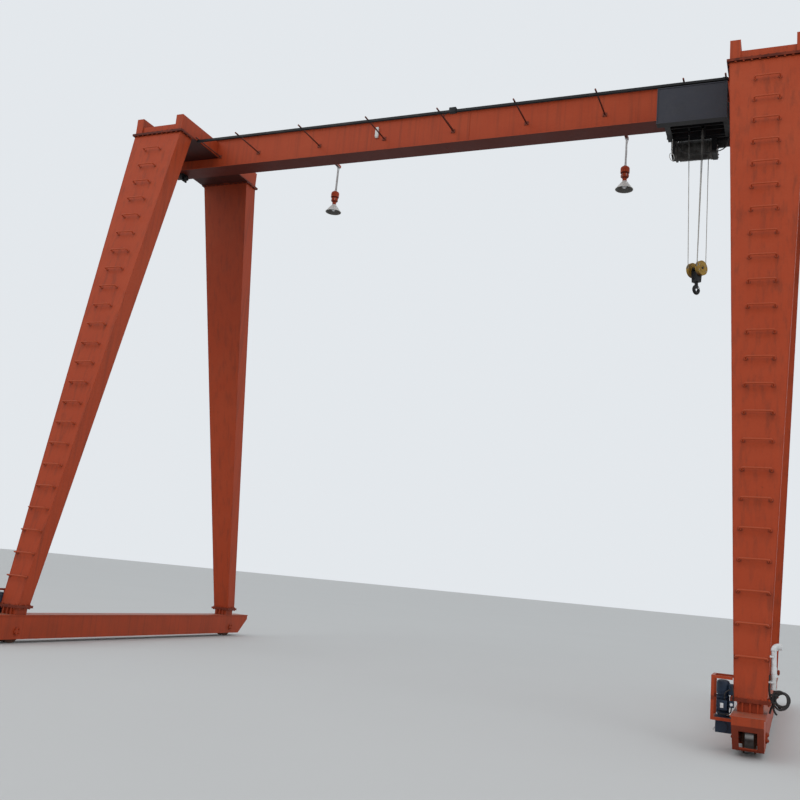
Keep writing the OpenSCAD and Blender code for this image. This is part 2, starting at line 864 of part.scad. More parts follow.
// frame that rides on the girder's ledges and carries both sides
module trolley_frame() {
    hx = cheek_l / 2;
    ycw = weight_y - weight_t;
    bx = drum_x0 - trolley_x;
    color(dark_c)
        translate([trolley_x, 0, 0])
            difference() {
                union() {
                    for (s = [-1, 1])
                        mirror([0, s < 0 ? 1 : 0, 0])
                            span_box([-hx, cheek_y, cheek_z], [hx, cheek_y + cheek_t, cheek_top]);
                    for (x = [-hx + 10, hx - 10 - cross_w])
                        span_box([x, -ycw, cross_z], [x + cross_w, rail_y - 32, cross_z + cross_h]);
                    span_box([-hx + 10, rail_y - 32, cross_z], [hx - 10, rail_y, cross_z + cross_h]);
                    extrude_x(bx - bearing_t, bx)
                        polygon([[rail_y - 32, cross_z], [rail_y - 32, cross_z + cross_h],
                                 [drum_y + 60, cross_z + cross_h], [drum_y + 90, drum_z + 30],
                                 [drum_y + 90, drum_z - 70], [drum_y + 40, drum_z - 120],
                                 [drum_y - 60, drum_z - 120], [rail_y, drum_z - 40]]);
                }
                for (x = [-hx + 10, hx - 10 - cross_w])
                    span_box([x + 8, -ycw - eps, cross_z + 8],
                             [x + cross_w - 8, rail_y - 40, cross_z + cross_h - 8]);
                for (x = [-1, 1], s = [-1, 1])
                    translate([x * roller_base / 2, s * (cheek_y + cheek_t / 2), roller_z])
                        rotate([90, 0, 0])
                            cylinder(d = stub_d + 0.4, h = cheek_t + 2 * eps, center = true);
            }
}

// flanged trolley wheels on their stub axles
module trolley_wheels() {
    color(zinc_c)
        for (x = [-1, 1], s = [-1, 1])
            translate([trolley_x + x * roller_base / 2, 0, roller_z])
                mirror([0, s < 0 ? 1 : 0, 0])
                    rotate([-90, 0, 0])
                        rotate_extrude()
                            polygon([[0, web_y + 8], [roller_d / 2, web_y + 8],
                                     [roller_d / 2, web_y + 8 + roller_w],
                                     [roller_d / 2 - 22, web_y + 8 + roller_w + 6],
                                     [stub_d / 2, cheek_y - 4],
                                     [stub_d / 2, cheek_y + cheek_t + 10],
                                     [0, cheek_y + cheek_t + 10]]);
}

// flat counterweight box on the near side
module counterweight_box() {
    color(grey_c)
        difference() {
            span_box([trolley_x - weight_l / 2, -weight_y, weight_top - weight_h],
                     [trolley_x + weight_l / 2, -weight_y + weight_t, weight_top]);
            span_box([trolley_x - weight_l / 2 + 12, -weight_y - eps, weight_top - weight_h + 12],
                     [trolley_x + weight_l / 2 - 12, -weight_y + 6, weight_top - 12]);
        }
}

// grooved rope drum on the far side
module rope_drum() {
    n = floor((drum_l - 60) / groove_pitch);
    g0 = (drum_l - n * groove_pitch) / 2;
    color(dark_c)
        translate([drum_x0, drum_y, drum_z])
            rotate([0, 90, 0])
                rotate_extrude()
                    polygon(concat([[0, 0], [drum_d / 2, 0], [drum_d / 2, g0 - 14],
                                    [drum_d / 2 - 14, g0 - 14]],
                                   [for (k = [0 : n - 1], j = [0, 1])
                                       [drum_d / 2 - (j == 0 ? 20 : 14),
                                        g0 + (k + (j == 0 ? 0.25 : 0.75)) * groove_pitch]],
                                   [[drum_d / 2 - 14, drum_l - g0 + 14],
                                    [drum_d / 2, drum_l - g0 + 14],
                                    [drum_d / 2, drum_l], [0, drum_l]]));
}

// gearbox that joins the drum and the motor
module hoist_gearbox() {
    color(dark_c)
        translate([drum_x1, drum_y, drum_z])
            union() {
                extrude_x(0, gearbox_t)
                    polygon([[rail_y - drum_y, -90], [-110, -120], [100, -120], [130, -90],
                             [130, 150], [100, 178], [rail_y - drum_y, 178]]);
                translate([0, 0, 178])
                    span_box([16, -60, 0], [gearbox_t, 60, 26]);
            }
}

// hoist motor beyond the gearbox
module hoist_motor() {
    color(dark_c)
        translate([drum_x1 + gearbox_t, drum_y, drum_z + motor_rise])
            union() {
                rod_x(0, hoist_motor_l, hoist_motor_d - 16);
                for (k = [0 : 3])
                    rod_x(14 + k * 26, 26 + k * 26, hoist_motor_d);
                rod_x(hoist_motor_l, hoist_motor_l + 34, hoist_motor_d - 4);
            }
}

// hanger of the fixed sheave and the rope anchor under the girder
module top_sheave_bracket() {
    hx = cheek_l / 2 - 10 - cross_w;
    z0 = cross_z + 12;
    z1 = cross_z + cross_h - 8;
    color(dark_c)
        union() {
            for (y = [-62, 50])
                span_box([trolley_x - hx, y, z0], [trolley_x + hx, y + 12, z1]);
            for (x = [sheave_x - 24, sheave_x + 16])
                difference() {
                    extrude_x(x, x + 8)
                        polygon([[-50, z1], [50, z1], [50, z0], [34, drum_z - 28],
                                 [-34, drum_z - 28], [-50, z0]]);
                    translate([x, 0, drum_z])
                        rod_x(-eps, 8 + eps, 24, $fn = fine_fn);
                }
            translate([block_x + anchor_dx, 0, 0]) {
                extrude_x(-8, 8)
                    polygon([[-50, z1], [50, z1], [50, z0], [24, drum_z + 60],
                             [-24, drum_z + 60], [-50, z0]]);
                translate([0, 0, drum_z + seat_gap])
                    cylinder(d = 28, h = 64, $fn = fine_fn);
            }
        }
}

// fixed sheave with its pin
module top_sheave() {
    r = top_sheave_r;
    color(zinc_c)
        translate([sheave_x, 0, drum_z])
            rotate([0, 90, 0])
                rotate_extrude()
                    polygon([[0, -24], [11.8, -24], [11.8, -15], [30, -15], [30, -14],
                             [r + 8, -14], [r, -6], [r, 6], [r + 8, 14], [30, 14], [30, 15],
                             [11.8, 15], [11.8, 24], [0, 24]]);
}

// pale ring that trips the upper limit, hung under the left cross tube
module limit_ring() {
    color(white_c)
        translate([trolley_x - cheek_l / 2 + cross_w + 3, ring_y, cross_z - ring_drop])
            union() {
                rotate([90, 0, 60])
                    rotate_extrude()
                        translate([ring_r, 0])
                            circle(d = ring_bar, $fn = fine_fn);
                translate([0, 0, ring_r])
                    cylinder(d = ring_bar, h = ring_drop - ring_r, $fn = fine_fn);
            }
}

// one straight rope between two points
module rope(a, b) {
    v = b - a;
    l = norm(v);
    translate(a)
        rotate([0, acos(v[2] / l), atan2(v[1], v[0])])
            cylinder(d = rope_d, h = l, $fn = fine_fn);
}

// foot of a rope fall at a sheave, s for the sheave and f for its side
function fall_foot(s, f) = [s * sheave_gap / 2 * cos(sheave_turn) + f * fall_r * sin(sheave_turn),
                            -s * sheave_gap / 2 * sin(sheave_turn) + f * fall_r * cos(sheave_turn)];

// four falls of rope from the trolley to the hook block
module rope_falls() {
    yt = top_sheave_r + rope_d / 2 + seat_gap;
    yd = drum_y - drum_d / 2 + 14 - rope_d / 2 - seat_gap;
    tops = [[block_x + anchor_dx, 0], [sheave_x, -yt], [sheave_x, yt], [drum_x1 - 40, yd]];
    feet = [fall_foot(-1, -1), fall_foot(1, -1), fall_foot(-1, 1), fall_foot(1, 1)];
    color(zinc_c)
        for (k = [0 : 3])
            rope([block_x + feet[k][0], feet[k][1], block_z], [tops[k][0], tops[k][1], drum_z]);
}

// places its children at each sheave of the hook block, on one pin
module at_sheaves() {
    translate([block_x, 0, block_z])
        rotate([0, 0, -sheave_turn])
            for (s = [-1, 1])
                translate([s * sheave_gap / 2, 0, 0])
                    children();
}

// cross head, side straps and axle of the hook block
module block_frame() {
    guard_x = sheave_gap / 2 - guard_t / 2;
    xs = guard_x - strap_gap - strap_t;
    pin_x = sheave_gap / 2 + guard_t / 2 + 8;
    color(dark_c)
        translate([block_x, 0, block_z])
            rotate([0, 0, -sheave_turn])
                difference() {
                    union() {
                        for (s = [-1, 1])
                            mirror([s < 0 ? 1 : 0, 0, 0])
                                extrude_x(xs, xs + strap_t)
                                    polygon([[-26, 30], [26, 30], [44, 0], [44, -70],
                                             [head_w / 2, -head_drop - head_h],
                                             [-head_w / 2, -head_drop - head_h], [-44, -70],
                                             [-44, 0]]);
                        rod_x(-pin_x, pin_x, block_pin_d);
                        span_box([-xs - strap_t, -head_w / 2, -head_drop - head_h],
                                 [xs + strap_t, head_w / 2, -head_drop]);
                    }
                    translate([0, 0, -head_drop - head_h - eps])
                        cylinder(d = shank_d + 2 * axle_clear, h = head_h + 2 * eps);
                }
}

// round guards over the two sheaves, open at the top for the rope
module sheave_guards() {
    color(yellow_c)
        at_sheaves()
            difference() {
                rod_x(-guard_t / 2, guard_t / 2, guard_d);
                rod_x(-guard_t / 2 + 4, guard_t / 2 - 4, guard_d - 8);
                rod_x(-guard_t, guard_t, block_pin_d + 1);
                for (y = [-1, 1])
                    span_box([-guard_t / 2 + 4, y * sheave_d / 2 - 14, 0],
                             [guard_t / 2 - 4, y * sheave_d / 2 + 14, guard_d]);
            }
}

// grooved sheaves inside the guards
module block_sheaves() {
    rb = block_pin_d / 2 + seat_gap;
    r = sheave_d / 2;
    color(zinc_c)
        at_sheaves()
            rotate([0, 90, 0])
                rotate_extrude()
                    polygon([[rb, -14], [34, -14], [34, -9], [r - 15, -9], [r, -13],
                             [r - 14, 0], [r, 13], [r - 15, 9], [34, 9], [34, 14], [rb, 14]]);
}

// forged hook with its shank and nut
module hook() {
    neck_z = block_z - head_drop - head_h - 4 - hook_z;
    head_z = block_z - head_drop - hook_z;
    r = hook_t / 2;
    color(dark_c)
        translate([block_x, 0, hook_z])
            rotate([0, 0, hook_turn])
                union() {
                    rotate([90, 0, 0])
                        rotate_extrude(angle = 260, start = 100)
                            translate([hook_r, 0])
                                circle(r = r);
                    translate([hook_r, 0, 0])
                        rotate_extrude()
                            polygon([[0, 0], [r - 0.5, 0], [r - 3, 12], [r - 9, 24], [0, 27]]);
                    translate([0, 0, hook_r - r - 3])
                        rotate_extrude()
                            polygon([[0, 0], [r + 3, 0], [r + 3, 2 * r], [r, 2 * r + 10],
                                     [r, neck_z - hook_r + r + 3], [0, neck_z - hook_r + r + 3]]);
                    cylinder_z(neck_z, head_z + nut_h + 6, shank_d);
                    cylinder_z(head_z + 1, head_z + 1 + nut_h, nut_d);
                }
}

main_girder();
girder_end_stops();
leg(-1, -1);  // leg_left_near
leg(-1, 1);  // leg_left_far
leg(1, -1);  // leg_right_near
leg(1, 1);  // leg_right_far
saddle(-1, -1);  // saddle_left_near
saddle(-1, 1);  // saddle_left_far
saddle(1, -1);  // saddle_right_near
saddle(1, 1);  // saddle_right_far
ladder(-1);  // ladder_left
ladder(1);  // ladder_right
ground_beam(-1);  // ground_beam_left
ground_beam(1);  // ground_beam_right
leg_pedestals();
wheel_axles();
wheel(-1, -1);  // wheel_left_near
wheel(-1, 1);  // wheel_left_far
wheel(1, -1);  // wheel_right_near
wheel(1, 1);  // wheel_right_far
travel_gearboxes();
travel_motors();
drive_cages();
festoon_arms();
festoon_track();
lamp_arms();
lamp_hangers();
lamp_housings();
lamp_reflectors();
conduit_pipe();
supply_cable();
trolley_frame();
trolley_wheels();
counterweight_box();
rope_drum();
hoist_gearbox();
hoist_motor();
top_sheave_bracket();
top_sheave();
limit_ring();
rope_falls();
block_frame();
sheave_guards();
block_sheaves();
hook();
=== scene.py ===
"""Looks of the rail-mounted gantry crane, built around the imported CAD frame.

Sub-assemblies are classes, finishes are small dataclasses, and what repeats
(bolts, rungs, weld beads, cooling fins, rope coils) is made by Geometry Nodes.
Everything is in metres: +X along the girder, +Y along the rails, +Z up.
"""
import json
import logging
import math
from dataclasses import dataclass, field
from enum import Enum

import bmesh
import bpy
from mathutils import Matrix, Vector


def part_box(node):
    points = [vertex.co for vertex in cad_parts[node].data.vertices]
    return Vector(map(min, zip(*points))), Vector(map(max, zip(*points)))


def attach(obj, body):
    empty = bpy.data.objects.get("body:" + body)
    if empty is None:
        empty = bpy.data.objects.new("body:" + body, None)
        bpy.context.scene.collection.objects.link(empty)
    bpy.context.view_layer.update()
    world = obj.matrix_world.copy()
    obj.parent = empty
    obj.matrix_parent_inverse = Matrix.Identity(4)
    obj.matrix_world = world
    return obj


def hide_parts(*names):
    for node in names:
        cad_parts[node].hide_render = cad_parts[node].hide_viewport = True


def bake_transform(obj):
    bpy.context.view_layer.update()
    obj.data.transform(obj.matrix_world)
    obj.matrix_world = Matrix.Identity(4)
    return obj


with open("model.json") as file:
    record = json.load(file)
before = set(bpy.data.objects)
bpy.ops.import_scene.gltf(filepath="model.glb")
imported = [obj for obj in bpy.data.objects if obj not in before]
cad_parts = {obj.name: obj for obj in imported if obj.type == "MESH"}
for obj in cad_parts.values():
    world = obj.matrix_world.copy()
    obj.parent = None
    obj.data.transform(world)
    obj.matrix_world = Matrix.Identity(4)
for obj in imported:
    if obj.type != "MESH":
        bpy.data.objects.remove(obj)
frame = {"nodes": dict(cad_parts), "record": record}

log = logging.getLogger("gantry_crane")
logging.basicConfig(level=logging.INFO, format="%(name)s: %(message)s")

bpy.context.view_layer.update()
RGB = tuple[float, float, float]
Point = tuple[float, float, float]
Profile = tuple[tuple[float, float], ...]
Value = "Field | float"
Colour = "Field | RGB"
Socket = bpy.types.NodeSocket
Material = bpy.types.Material

RIGHT, FAR, UP = Vector((1.0, 0.0, 0.0)), Vector((0.0, 1.0, 0.0)), Vector((0.0, 0.0, 1.0))
LEFT, NEAR, DOWN = Vector((-1.0, 0.0, 0.0)), Vector((0.0, -1.0, 0.0)), Vector((0.0, 0.0, -1.0))
UPRIGHT = Matrix.Identity(4)
LAID = Matrix.Rotation(math.pi / 2, 4, "Y")


def centre(node: str) -> Vector:
    """Middle of a CAD node's box."""
    low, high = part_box(node)
    return (low + high) / 2


class Body(Enum):
    """The moving bodies that pieces ride on."""

    GANTRY = "gantry"
    TROLLEY = "trolley"
    BLOCK = "hook_block"
    HOOK = "hook"


class Coat(Enum):
    """How a paint has aged, with the roughness that this leaves."""

    CHALKY = 0.52
    GREASY = 0.40


@dataclass(frozen=True)
class LegForm:
    """Shape of one tapered leg between its two flanges.

    Attributes:
        plane: centre plane of the right A-frame; the left one is its mirror image.
        foot_z: height of the foot.
        top_z: height of the top.
        foot_w: width along the girder at the foot.
        top_w: width along the girder at the top.
        foot_y: outer face at the foot.
        top_y: outer face at the top.
        top_d: depth along the rails at the top.
        foot_d: depth along the rails at the foot.
        lip: how far a flange stands out.
        joint: thickness of the two flanges bolted together at each end.
    """

    plane: float
    foot_z: float
    top_z: float
    foot_w: float
    top_w: float
    foot_y: float
    top_y: float
    top_d: float
    foot_d: float = 0.200
    lip: float = 0.032
    joint: float = 0.032

    @classmethod
    def from_frame(cls) -> "LegForm":
        """Read the right near leg from the frame.

        Returns:
            Its form without the flanges.
        """
        low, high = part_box("leg_right_near")
        saddle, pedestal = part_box("saddle_right_near")[0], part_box("leg_pedestals")[1]
        plane, flange = (low.x + high.x) / 2, cls.joint / 2
        return cls(plane, low.z + flange, high.z - flange, 2 * (pedestal.x - plane - cls.lip),
                   high.x - low.x - 2 * cls.lip, -low.y - cls.lip, -saddle.y - cls.lip,
                   high.y - saddle.y - 2 * cls.lip)

    @property
    def lean(self) -> float:
        """Angle of the outer face from upright."""
        return math.atan2(self.foot_y - self.top_y, self.top_z - self.foot_z)

    def width(self, z: float) -> float:
        """Width along the girder at a height."""
        return self.foot_w + (self.top_w - self.foot_w) * (z - self.foot_z) / (self.top_z - self.foot_z)


@dataclass(frozen=True)
class RungForm:
    """Places of the ladder rungs on a leg's outer face.

    Attributes:
        count: rungs on each ladder.
        pitch: distance between rungs.
        width: overall width of a rung.
        edge: clear edge of the leg beside a rung.
        bar: radius of the bar.
        reach: how far the bar's centre stands off the leg.
    """

    count: int = 23
    pitch: float = 0.300
    width: float = 0.290
    edge: float = 0.012
    bar: float = 0.009
    reach: float = 0.070


@dataclass(frozen=True)
class BlockForm:
    """Place of the hook block's two sheaves.

    Attributes:
        pin: middle of the pin.
        turn: angle between the pin and the girder, seen from above.
        half_gap: from the middle to a sheave.
        groove: radius of the rope in a sheave's groove.
    """

    pin: Vector
    turn: float = math.radians(34.0)
    half_gap: float = 0.069
    groove: float = 0.0835

    @property
    def axis(self) -> Vector:
        """Direction of the pin."""
        return Vector((math.cos(self.turn), -math.sin(self.turn), 0.0))

    @property
    def across(self) -> Vector:
        """Level direction across the pin."""
        return Vector((math.sin(self.turn), math.cos(self.turn), 0.0))


LEG = LegForm.from_frame()
RUNG = RungForm()
BLOCK = BlockForm(centre("block_sheaves"))
ARM_PLACES = [0.110 + 1.090 * k for k in range(-3, 4)]


# shader tools


class Field:
    """One shader socket whose arithmetic adds Math nodes to its graph."""

    def __init__(self, graph: "ShaderGraph", socket: Socket) -> None:
        """Keep the graph and the socket."""
        self.graph, self.socket = graph, socket

    def math(self, operation: str, other: Value = 0.0, clamp: bool = False) -> "Field":
        """Add one Math node that starts from this socket.

        Args:
            operation: name of the Math node's operation.
            other: the second input, for operations that take one.
            clamp: keep the result between 0 and 1.

        Returns:
            The node's result.
        """
        return self.graph.node("ShaderNodeMath", {"operation": operation, "use_clamp": clamp}, {0: self, 1: other})

    def __add__(self, other: Value) -> "Field":
        """Sum."""
        return self.math("ADD", other)

    __radd__ = __add__

    def __mul__(self, other: Value) -> "Field":
        """Product."""
        return self.math("MULTIPLY", other)

    __rmul__ = __mul__

    def __sub__(self, other: Value) -> "Field":
        """Difference."""
        return self.math("SUBTRACT", other)

    def __rsub__(self, other: float) -> "Field":
        """Difference from a number."""
        return self * -1.0 + other

    def __truediv__(self, other: Value) -> "Field":
        """Quotient."""
        return self.math("DIVIDE", other)

    def __abs__(self) -> "Field":
        """Magnitude."""
        return self.math("ABSOLUTE")

    def step(self, low: float, high: float) -> "Field":
        """Smooth 0 to 1 as the value goes from low to high; falls where high is below low.

        Args:
            low: value that gives 0.
            high: value that gives 1.

        Returns:
            The mask.
        """
        if high < low:
            return 1.0 - self.step(high, low)
        settings = {"interpolation_type": "SMOOTHSTEP", "clamp": True}
        values = {"Value": self, "From Min": low, "From Max": high, "To Min": 0.0, "To Max": 1.0}
        return self.graph.node("ShaderNodeMapRange", settings, values)

    def clamp(self) -> "Field":
        """Limit to 0..1."""
        return self.math("ADD", clamp=True)


class ShaderGraph:
    """Builds one material's nodes."""

    def __init__(self, name: str) -> None:
        """Make an empty node material.

        Args:
            name: the material's name.
        """
        self.material = bpy.data.materials.new(name)
        self.material.use_nodes = True
        self.tree = self.material.node_tree
        self.tree.nodes.clear()
        self.coords = self.node("ShaderNodeTexCoord", {}, {}, "Object")

    def node(self, kind: str, settings: dict, values: dict, output: str | int = 0) -> Field:
        """Add any node.

        Args:
            kind: the node's type.
            settings: attributes set before the sockets.
            values: numbers, colours or fields by socket name or index.
            output: the output that is returned.

        Returns:
            The chosen output.
        """
        made = self.tree.nodes.new(kind)
        for key, value in settings.items():
            setattr(made, key, value)
        for key, value in values.items():
            if isinstance(value, Field):
                self.tree.links.new(value.socket, made.inputs[key])
            elif isinstance(value, tuple) and made.inputs[key].type == "RGBA":
                made.inputs[key].default_value = (*value, 1.0)
            else:
                made.inputs[key].default_value = value
        return Field(self, made.outputs[output])

    def blend(self, amount: Value, low: Colour, high: Colour) -> Field:
        """Mix two colours.

        Args:
            amount: 0 gives low, 1 gives high.
            low: first colour.
            high: second colour.

        Returns:
            The mixed colour.
        """
        settings = {"data_type": "RGBA", "blend_type": "MIX", "clamp_factor": True}
        return self.node("ShaderNodeMix", settings, {0: amount, 6: low, 7: high}, 2)

    def noise(self, scale: float, detail: float = 3.0, rough: float = 0.55, stretch: Point = (1.0, 1.0, 1.0),
              shift: Point = (0.0, 0.0, 0.0)) -> Field:
        """Noise between 0 and 1.

        Args:
            scale: features per metre.
            detail: octaves.
            rough: weight of the finer octaves.
            stretch: factor on each axis.
            shift: offset that makes two noises differ.

        Returns:
            The noise's value.
        """
        where = self.node("ShaderNodeMapping", {}, {"Vector": self.coords, "Location": shift, "Scale": stretch})
        values = {"Vector": where, "Scale": scale, "Detail": detail, "Roughness": rough}
        return self.node("ShaderNodeTexNoise", {}, values)

    def cells(self, scale: float, output: str = "Distance") -> Field:
        """Voronoi cells: the distance to their middles or their colours."""
        values = {"Vector": self.coords, "Scale": scale}
        return self.node("ShaderNodeTexVoronoi", {"feature": "F1"}, values, output)

    def axis(self, name: str) -> Field:
        """One of the object coordinates, in metres."""
        return self.node("ShaderNodeSeparateXYZ", {}, {0: self.coords}, "XYZ".index(name))

    def up(self) -> Field:
        """How far the surface faces the sky, from -1 to 1."""
        normal = self.node("ShaderNodeNewGeometry", {}, {}, "Normal")
        return self.node("ShaderNodeSeparateXYZ", {}, {0: normal}, 2)

    def finish(self, colour: Colour, rough: Value, metal: Value = 0.0, height: Field | None = None,
               relief: float = 0.002, **constants: float) -> Material:
        """Close the graph with a shader.

        Args:
            colour: base colour.
            rough: roughness.
            metal: metallic share.
            height: bump height from 0 to 1.
            relief: height of the bump in metres.
            constants: other shader sockets that stay the same all over.

        Returns:
            The finished material.
        """
        values: dict = {"Base Color": colour, "Roughness": rough, "Metallic": metal}
        if height is not None:
            bump = {"Height": height, "Strength": 0.6, "Distance": relief}
            values["Normal"] = self.node("ShaderNodeBump", {}, bump)
        values.update({key.replace("_", " "): value for key, value in constants.items()})
        shader = self.node("ShaderNodeBsdfPrincipled", {}, values)
        out = self.tree.nodes.new("ShaderNodeOutputMaterial")
        self.tree.links.new(shader.socket, out.inputs["Surface"])
        return self.material


# finishes


@dataclass(frozen=True)
class Finish:
    """What all finishes have.

    Attributes:
        name: the material's name.
    """

    name: str


@dataclass(frozen=True)
class YardPaint(Finish):
    """Air-dried paint on steel that stands outside: faded, rain-streaked, chipped and dirty near the ground, with
    painted shade on faces that look down and on high faces that lean down.

    Attributes:
        colour: fresh paint.
        faded: paint bleached by sun and rain.
        soil: dirt that runs down with the rain.
        streaks: strength of the rain streaks.
        chips: share of the surface chipped to rust.
        coat: how the paint has aged.
        splash_top: height up to which the ground's mud splashes.
        shade: strength of the painted shade on faces that look down and on high faces that lean down.
        rung_marks: draw the painted shadow and soiling at every rung, and the painted shade and soiling at the flange
            joints.
    """

    colour: RGB
    faded: RGB
    soil: RGB = (0.055, 0.028, 0.018)
    streaks: float = 0.45
    chips: float = 0.5
    coat: Coat = Coat.CHALKY
    splash_top: float = 0.9
    shade: float = 1.0
    rung_marks: bool = False

    # the first colour is painted shade for faces that look down; the second is dust on faces that look up
    UNDERSIDE, DUST = (0.042, 0.007, 0.006), (0.20, 0.16, 0.12)
    # colours of the painted shade and soiling at the rungs and at the bolted flange joints
    RUNG_GRIME, JOINT_GRIME = (0.045, 0.014, 0.010), (0.036, 0.010, 0.008)
    RUST, OLD_RUST = (0.14, 0.045, 0.016), (0.05, 0.020, 0.012)

    def rung_shade_and_grime(self, g: ShaderGraph) -> Field:
        """Painted shadow and soiling under and beside the rungs of the two near legs.

        Args:
            g: the graph that is being built.

        Returns:
            The mask.
        """
        along = (LEG.top_z - g.axis("Z")) / math.cos(LEG.lean)
        beat = (along / RUNG.pitch).math("FRACT")
        line = beat.step(0.10, 0.0) + beat.step(0.90, 1.0)
        drip = beat.step(0.42, 0.02) * 0.30
        across = abs(abs(g.axis("X")) - LEG.plane)
        foot = RUNG.width / 2 - RUNG.bar
        ends = abs(across - foot).step(0.036, 0.006)
        span = across.step(foot + 0.050, foot + 0.005)
        face = g.axis("Y") + LEG.foot_y - (g.axis("Z") - LEG.foot_z) * math.tan(LEG.lean)
        near = abs(face).step(0.030, 0.012)
        reach = g.axis("Z").step(0.6, 0.75) * g.axis("Z").step(7.42, 7.32)
        worn = g.noise(9.0, 4.0).step(0.32, 0.66)
        return ((line * (0.16 + ends * 0.95) + drip * ends) * span * (worn * 0.4 + 0.6) * near * reach).clamp()

    def joint_shade_and_grime(self, g: ShaderGraph) -> Field:
        """Dark bands at the bolted joints of the legs: painted shade at the flanges, and soiling where water stays in
        them.

        Args:
            g: the graph that is being built.

        Returns:
            The mask.
        """
        z = g.axis("Z")
        top = abs(z - LEG.top_z - 0.020).step(0.028, 0.016) * abs(g.axis("Y")).step(0.105, 0.125)
        foot = abs(z - LEG.foot_z + 0.016).step(0.024, 0.012)
        uneven = g.noise(5.0, 4.0, 0.6, shift=(6.0, 2.0, 2.0)).step(0.25, 0.60)
        return ((top + foot * 0.8) * (uneven * 0.45 + 0.55)).clamp()

    def material(self) -> Material:
        """Build the material.

        Returns:
            The finished material.
        """
        g = ShaderGraph(self.name)
        z, up = g.axis("Z"), g.up()
        broad = g.noise(0.55, 3.0, 0.6)
        cloudy = g.noise(3.1, 5.0, 0.62, shift=(3.0, 1.0, 7.0))
        fine = g.noise(46.0, 4.0, 0.6, shift=(1.0, 5.0, 2.0))
        runs = g.noise(1.0, 5.0, 0.62, (17.0, 17.0, 0.5))
        thin_runs = g.noise(1.0, 4.0, 0.6, (62.0, 62.0, 1.6), (4.0, 2.0, 0.0))
        fade = (broad * 0.65 + cloudy * 0.55 - 0.12).step(0.25, 0.85) * (z.step(0.8, 6.5) * 0.7 + 0.3)
        colour = g.blend(fade, self.colour, self.faded)
        colour = g.blend(fine.step(0.35, 0.75) * 0.16, colour, self.faded)
        wet = (runs.step(0.46, 0.74) * 0.7 + thin_runs.step(0.55, 0.80) * 0.30) * self.streaks
        colour = g.blend(wet.clamp(), colour, self.soil)
        splash = z.step(self.splash_top, 0.05) * (cloudy.step(0.25, 0.8) * 0.28 + 0.01)
        dust = up.step(0.5, 0.95) * cloudy.step(0.2, 0.7) * 0.5
        # painted shade: high faces that lean down and all faces that look down are darkened
        leaning = up.step(-0.06, -0.22) * z.step(2.5, 7.2) * 0.28
        under = (up.step(-0.4, -0.95) * 0.58 + leaning) * self.shade
        # blend in mud splash near the ground, the painted shade, and dust on faces that look up
        for amount, dirt_and_shade in ((splash, self.soil), (under, self.UNDERSIDE), (dust, self.DUST)):
            colour = g.blend(amount, colour, dirt_and_shade)
        rung_shade_and_grime_mask = self.rung_shade_and_grime(g) if self.rung_marks else None
        if rung_shade_and_grime_mask is not None:
            # painted shadow and soiling at the rungs, then painted shade and soiling at the flange joints
            colour = g.blend(rung_shade_and_grime_mask * 0.78, colour, self.RUNG_GRIME)
            colour = g.blend(self.joint_shade_and_grime(g) * 0.84, colour, self.JOINT_GRIME)
        spots = g.cells(7.5).step(0.10, 0.02) * g.noise(1.9, 4.0, shift=(8.0, 3.0, 1.0)).step(0.55, 0.68)
        flakes = g.noise(26.0, 6.0, 0.7, shift=(2.0, 9.0, 4.0)).step(0.70, 0.735)
        chipped = ((spots + flakes * cloudy.step(0.45, 0.62)) * self.chips).clamp()
        colour = g.blend(chipped, colour, g.blend(fine, self.RUST, self.OLD_RUST))
        rough = (self.coat.value + fade * 0.16 + chipped * 0.3 + splash * 0.25 - 0.10 * fine).clamp()
        height = fine * 0.16 + g.noise(210.0, 2.0) * 0.10 + cloudy * 0.20 + (1.0 - chipped) * 0.35
        if rung_shade_and_grime_mask is not None:
            height = height + rung_shade_and_grime_mask * 0.1
        return g.finish(colour, rough, 0.0, height, 0.0016, Specular_IOR_Level=0.17)


@dataclass(frozen=True)
class MachineBlack(Finish):
    """Dark enamel on the hoist: greased, dusty on top, rusty at the edges, with painted shade on faces that look down.

    Attributes:
        colour: the enamel.
        dust: dust that settles on it.
        rust: share of the surface that rusts.
        grease: share that shines with grease.
    """

    colour: RGB = (0.009, 0.0095, 0.0115)
    dust: RGB = (0.038, 0.032, 0.026)
    rust: float = 0.45
    grease: float = 0.5

    # the first colour is painted shade for faces that look down; the second is oil
    UNDERSIDE, OIL = (0.006, 0.0055, 0.0055), (0.010, 0.009, 0.008)
    RUST, OLD_RUST = (0.10, 0.040, 0.016), (0.045, 0.022, 0.013)

    def material(self) -> Material:
        """Build the material.

        Returns:
            The finished material.
        """
        g = ShaderGraph(self.name)
        cloudy = g.noise(7.0, 5.0, 0.62)
        fine = g.noise(70.0, 4.0, 0.65, shift=(3.0, 1.0, 5.0))
        runs = g.noise(1.0, 4.0, 0.6, (40.0, 40.0, 3.0), (1.0, 2.0, 3.0))
        settle = g.up().step(0.1, 0.95) * 0.55 + cloudy.step(0.42, 0.75) * 0.25
        colour = g.blend((settle * fine.step(0.2, 0.7)).clamp(), self.colour, self.dust)
        # painted shade: faces that look down are darkened
        colour = g.blend(g.up().step(-0.30, -0.85) * 0.85, colour, self.UNDERSIDE)
        rusty = (g.noise(13.0, 6.0, 0.7, shift=(7.0, 7.0, 1.0)).step(0.60, 0.72) * self.rust
                 + runs.step(0.62, 0.78) * 0.35 * self.rust).clamp()
        colour = g.blend(rusty, colour, g.blend(fine, self.RUST, self.OLD_RUST))
        oily = g.noise(4.0, 3.0, shift=(9.0, 1.0, 1.0)).step(0.48, 0.66) * self.grease
        colour = g.blend(oily * 0.6, colour, self.OIL)
        rough = (0.55 + rusty * 0.3 - oily * 0.30 + settle * 0.15 - fine * 0.08).clamp()
        height = fine * 0.3 + rusty * 0.3 + g.noise(260.0, 2.0) * 0.12
        return g.finish(colour, rough, 0.0, height, 0.0012, Specular_IOR_Level=0.26)


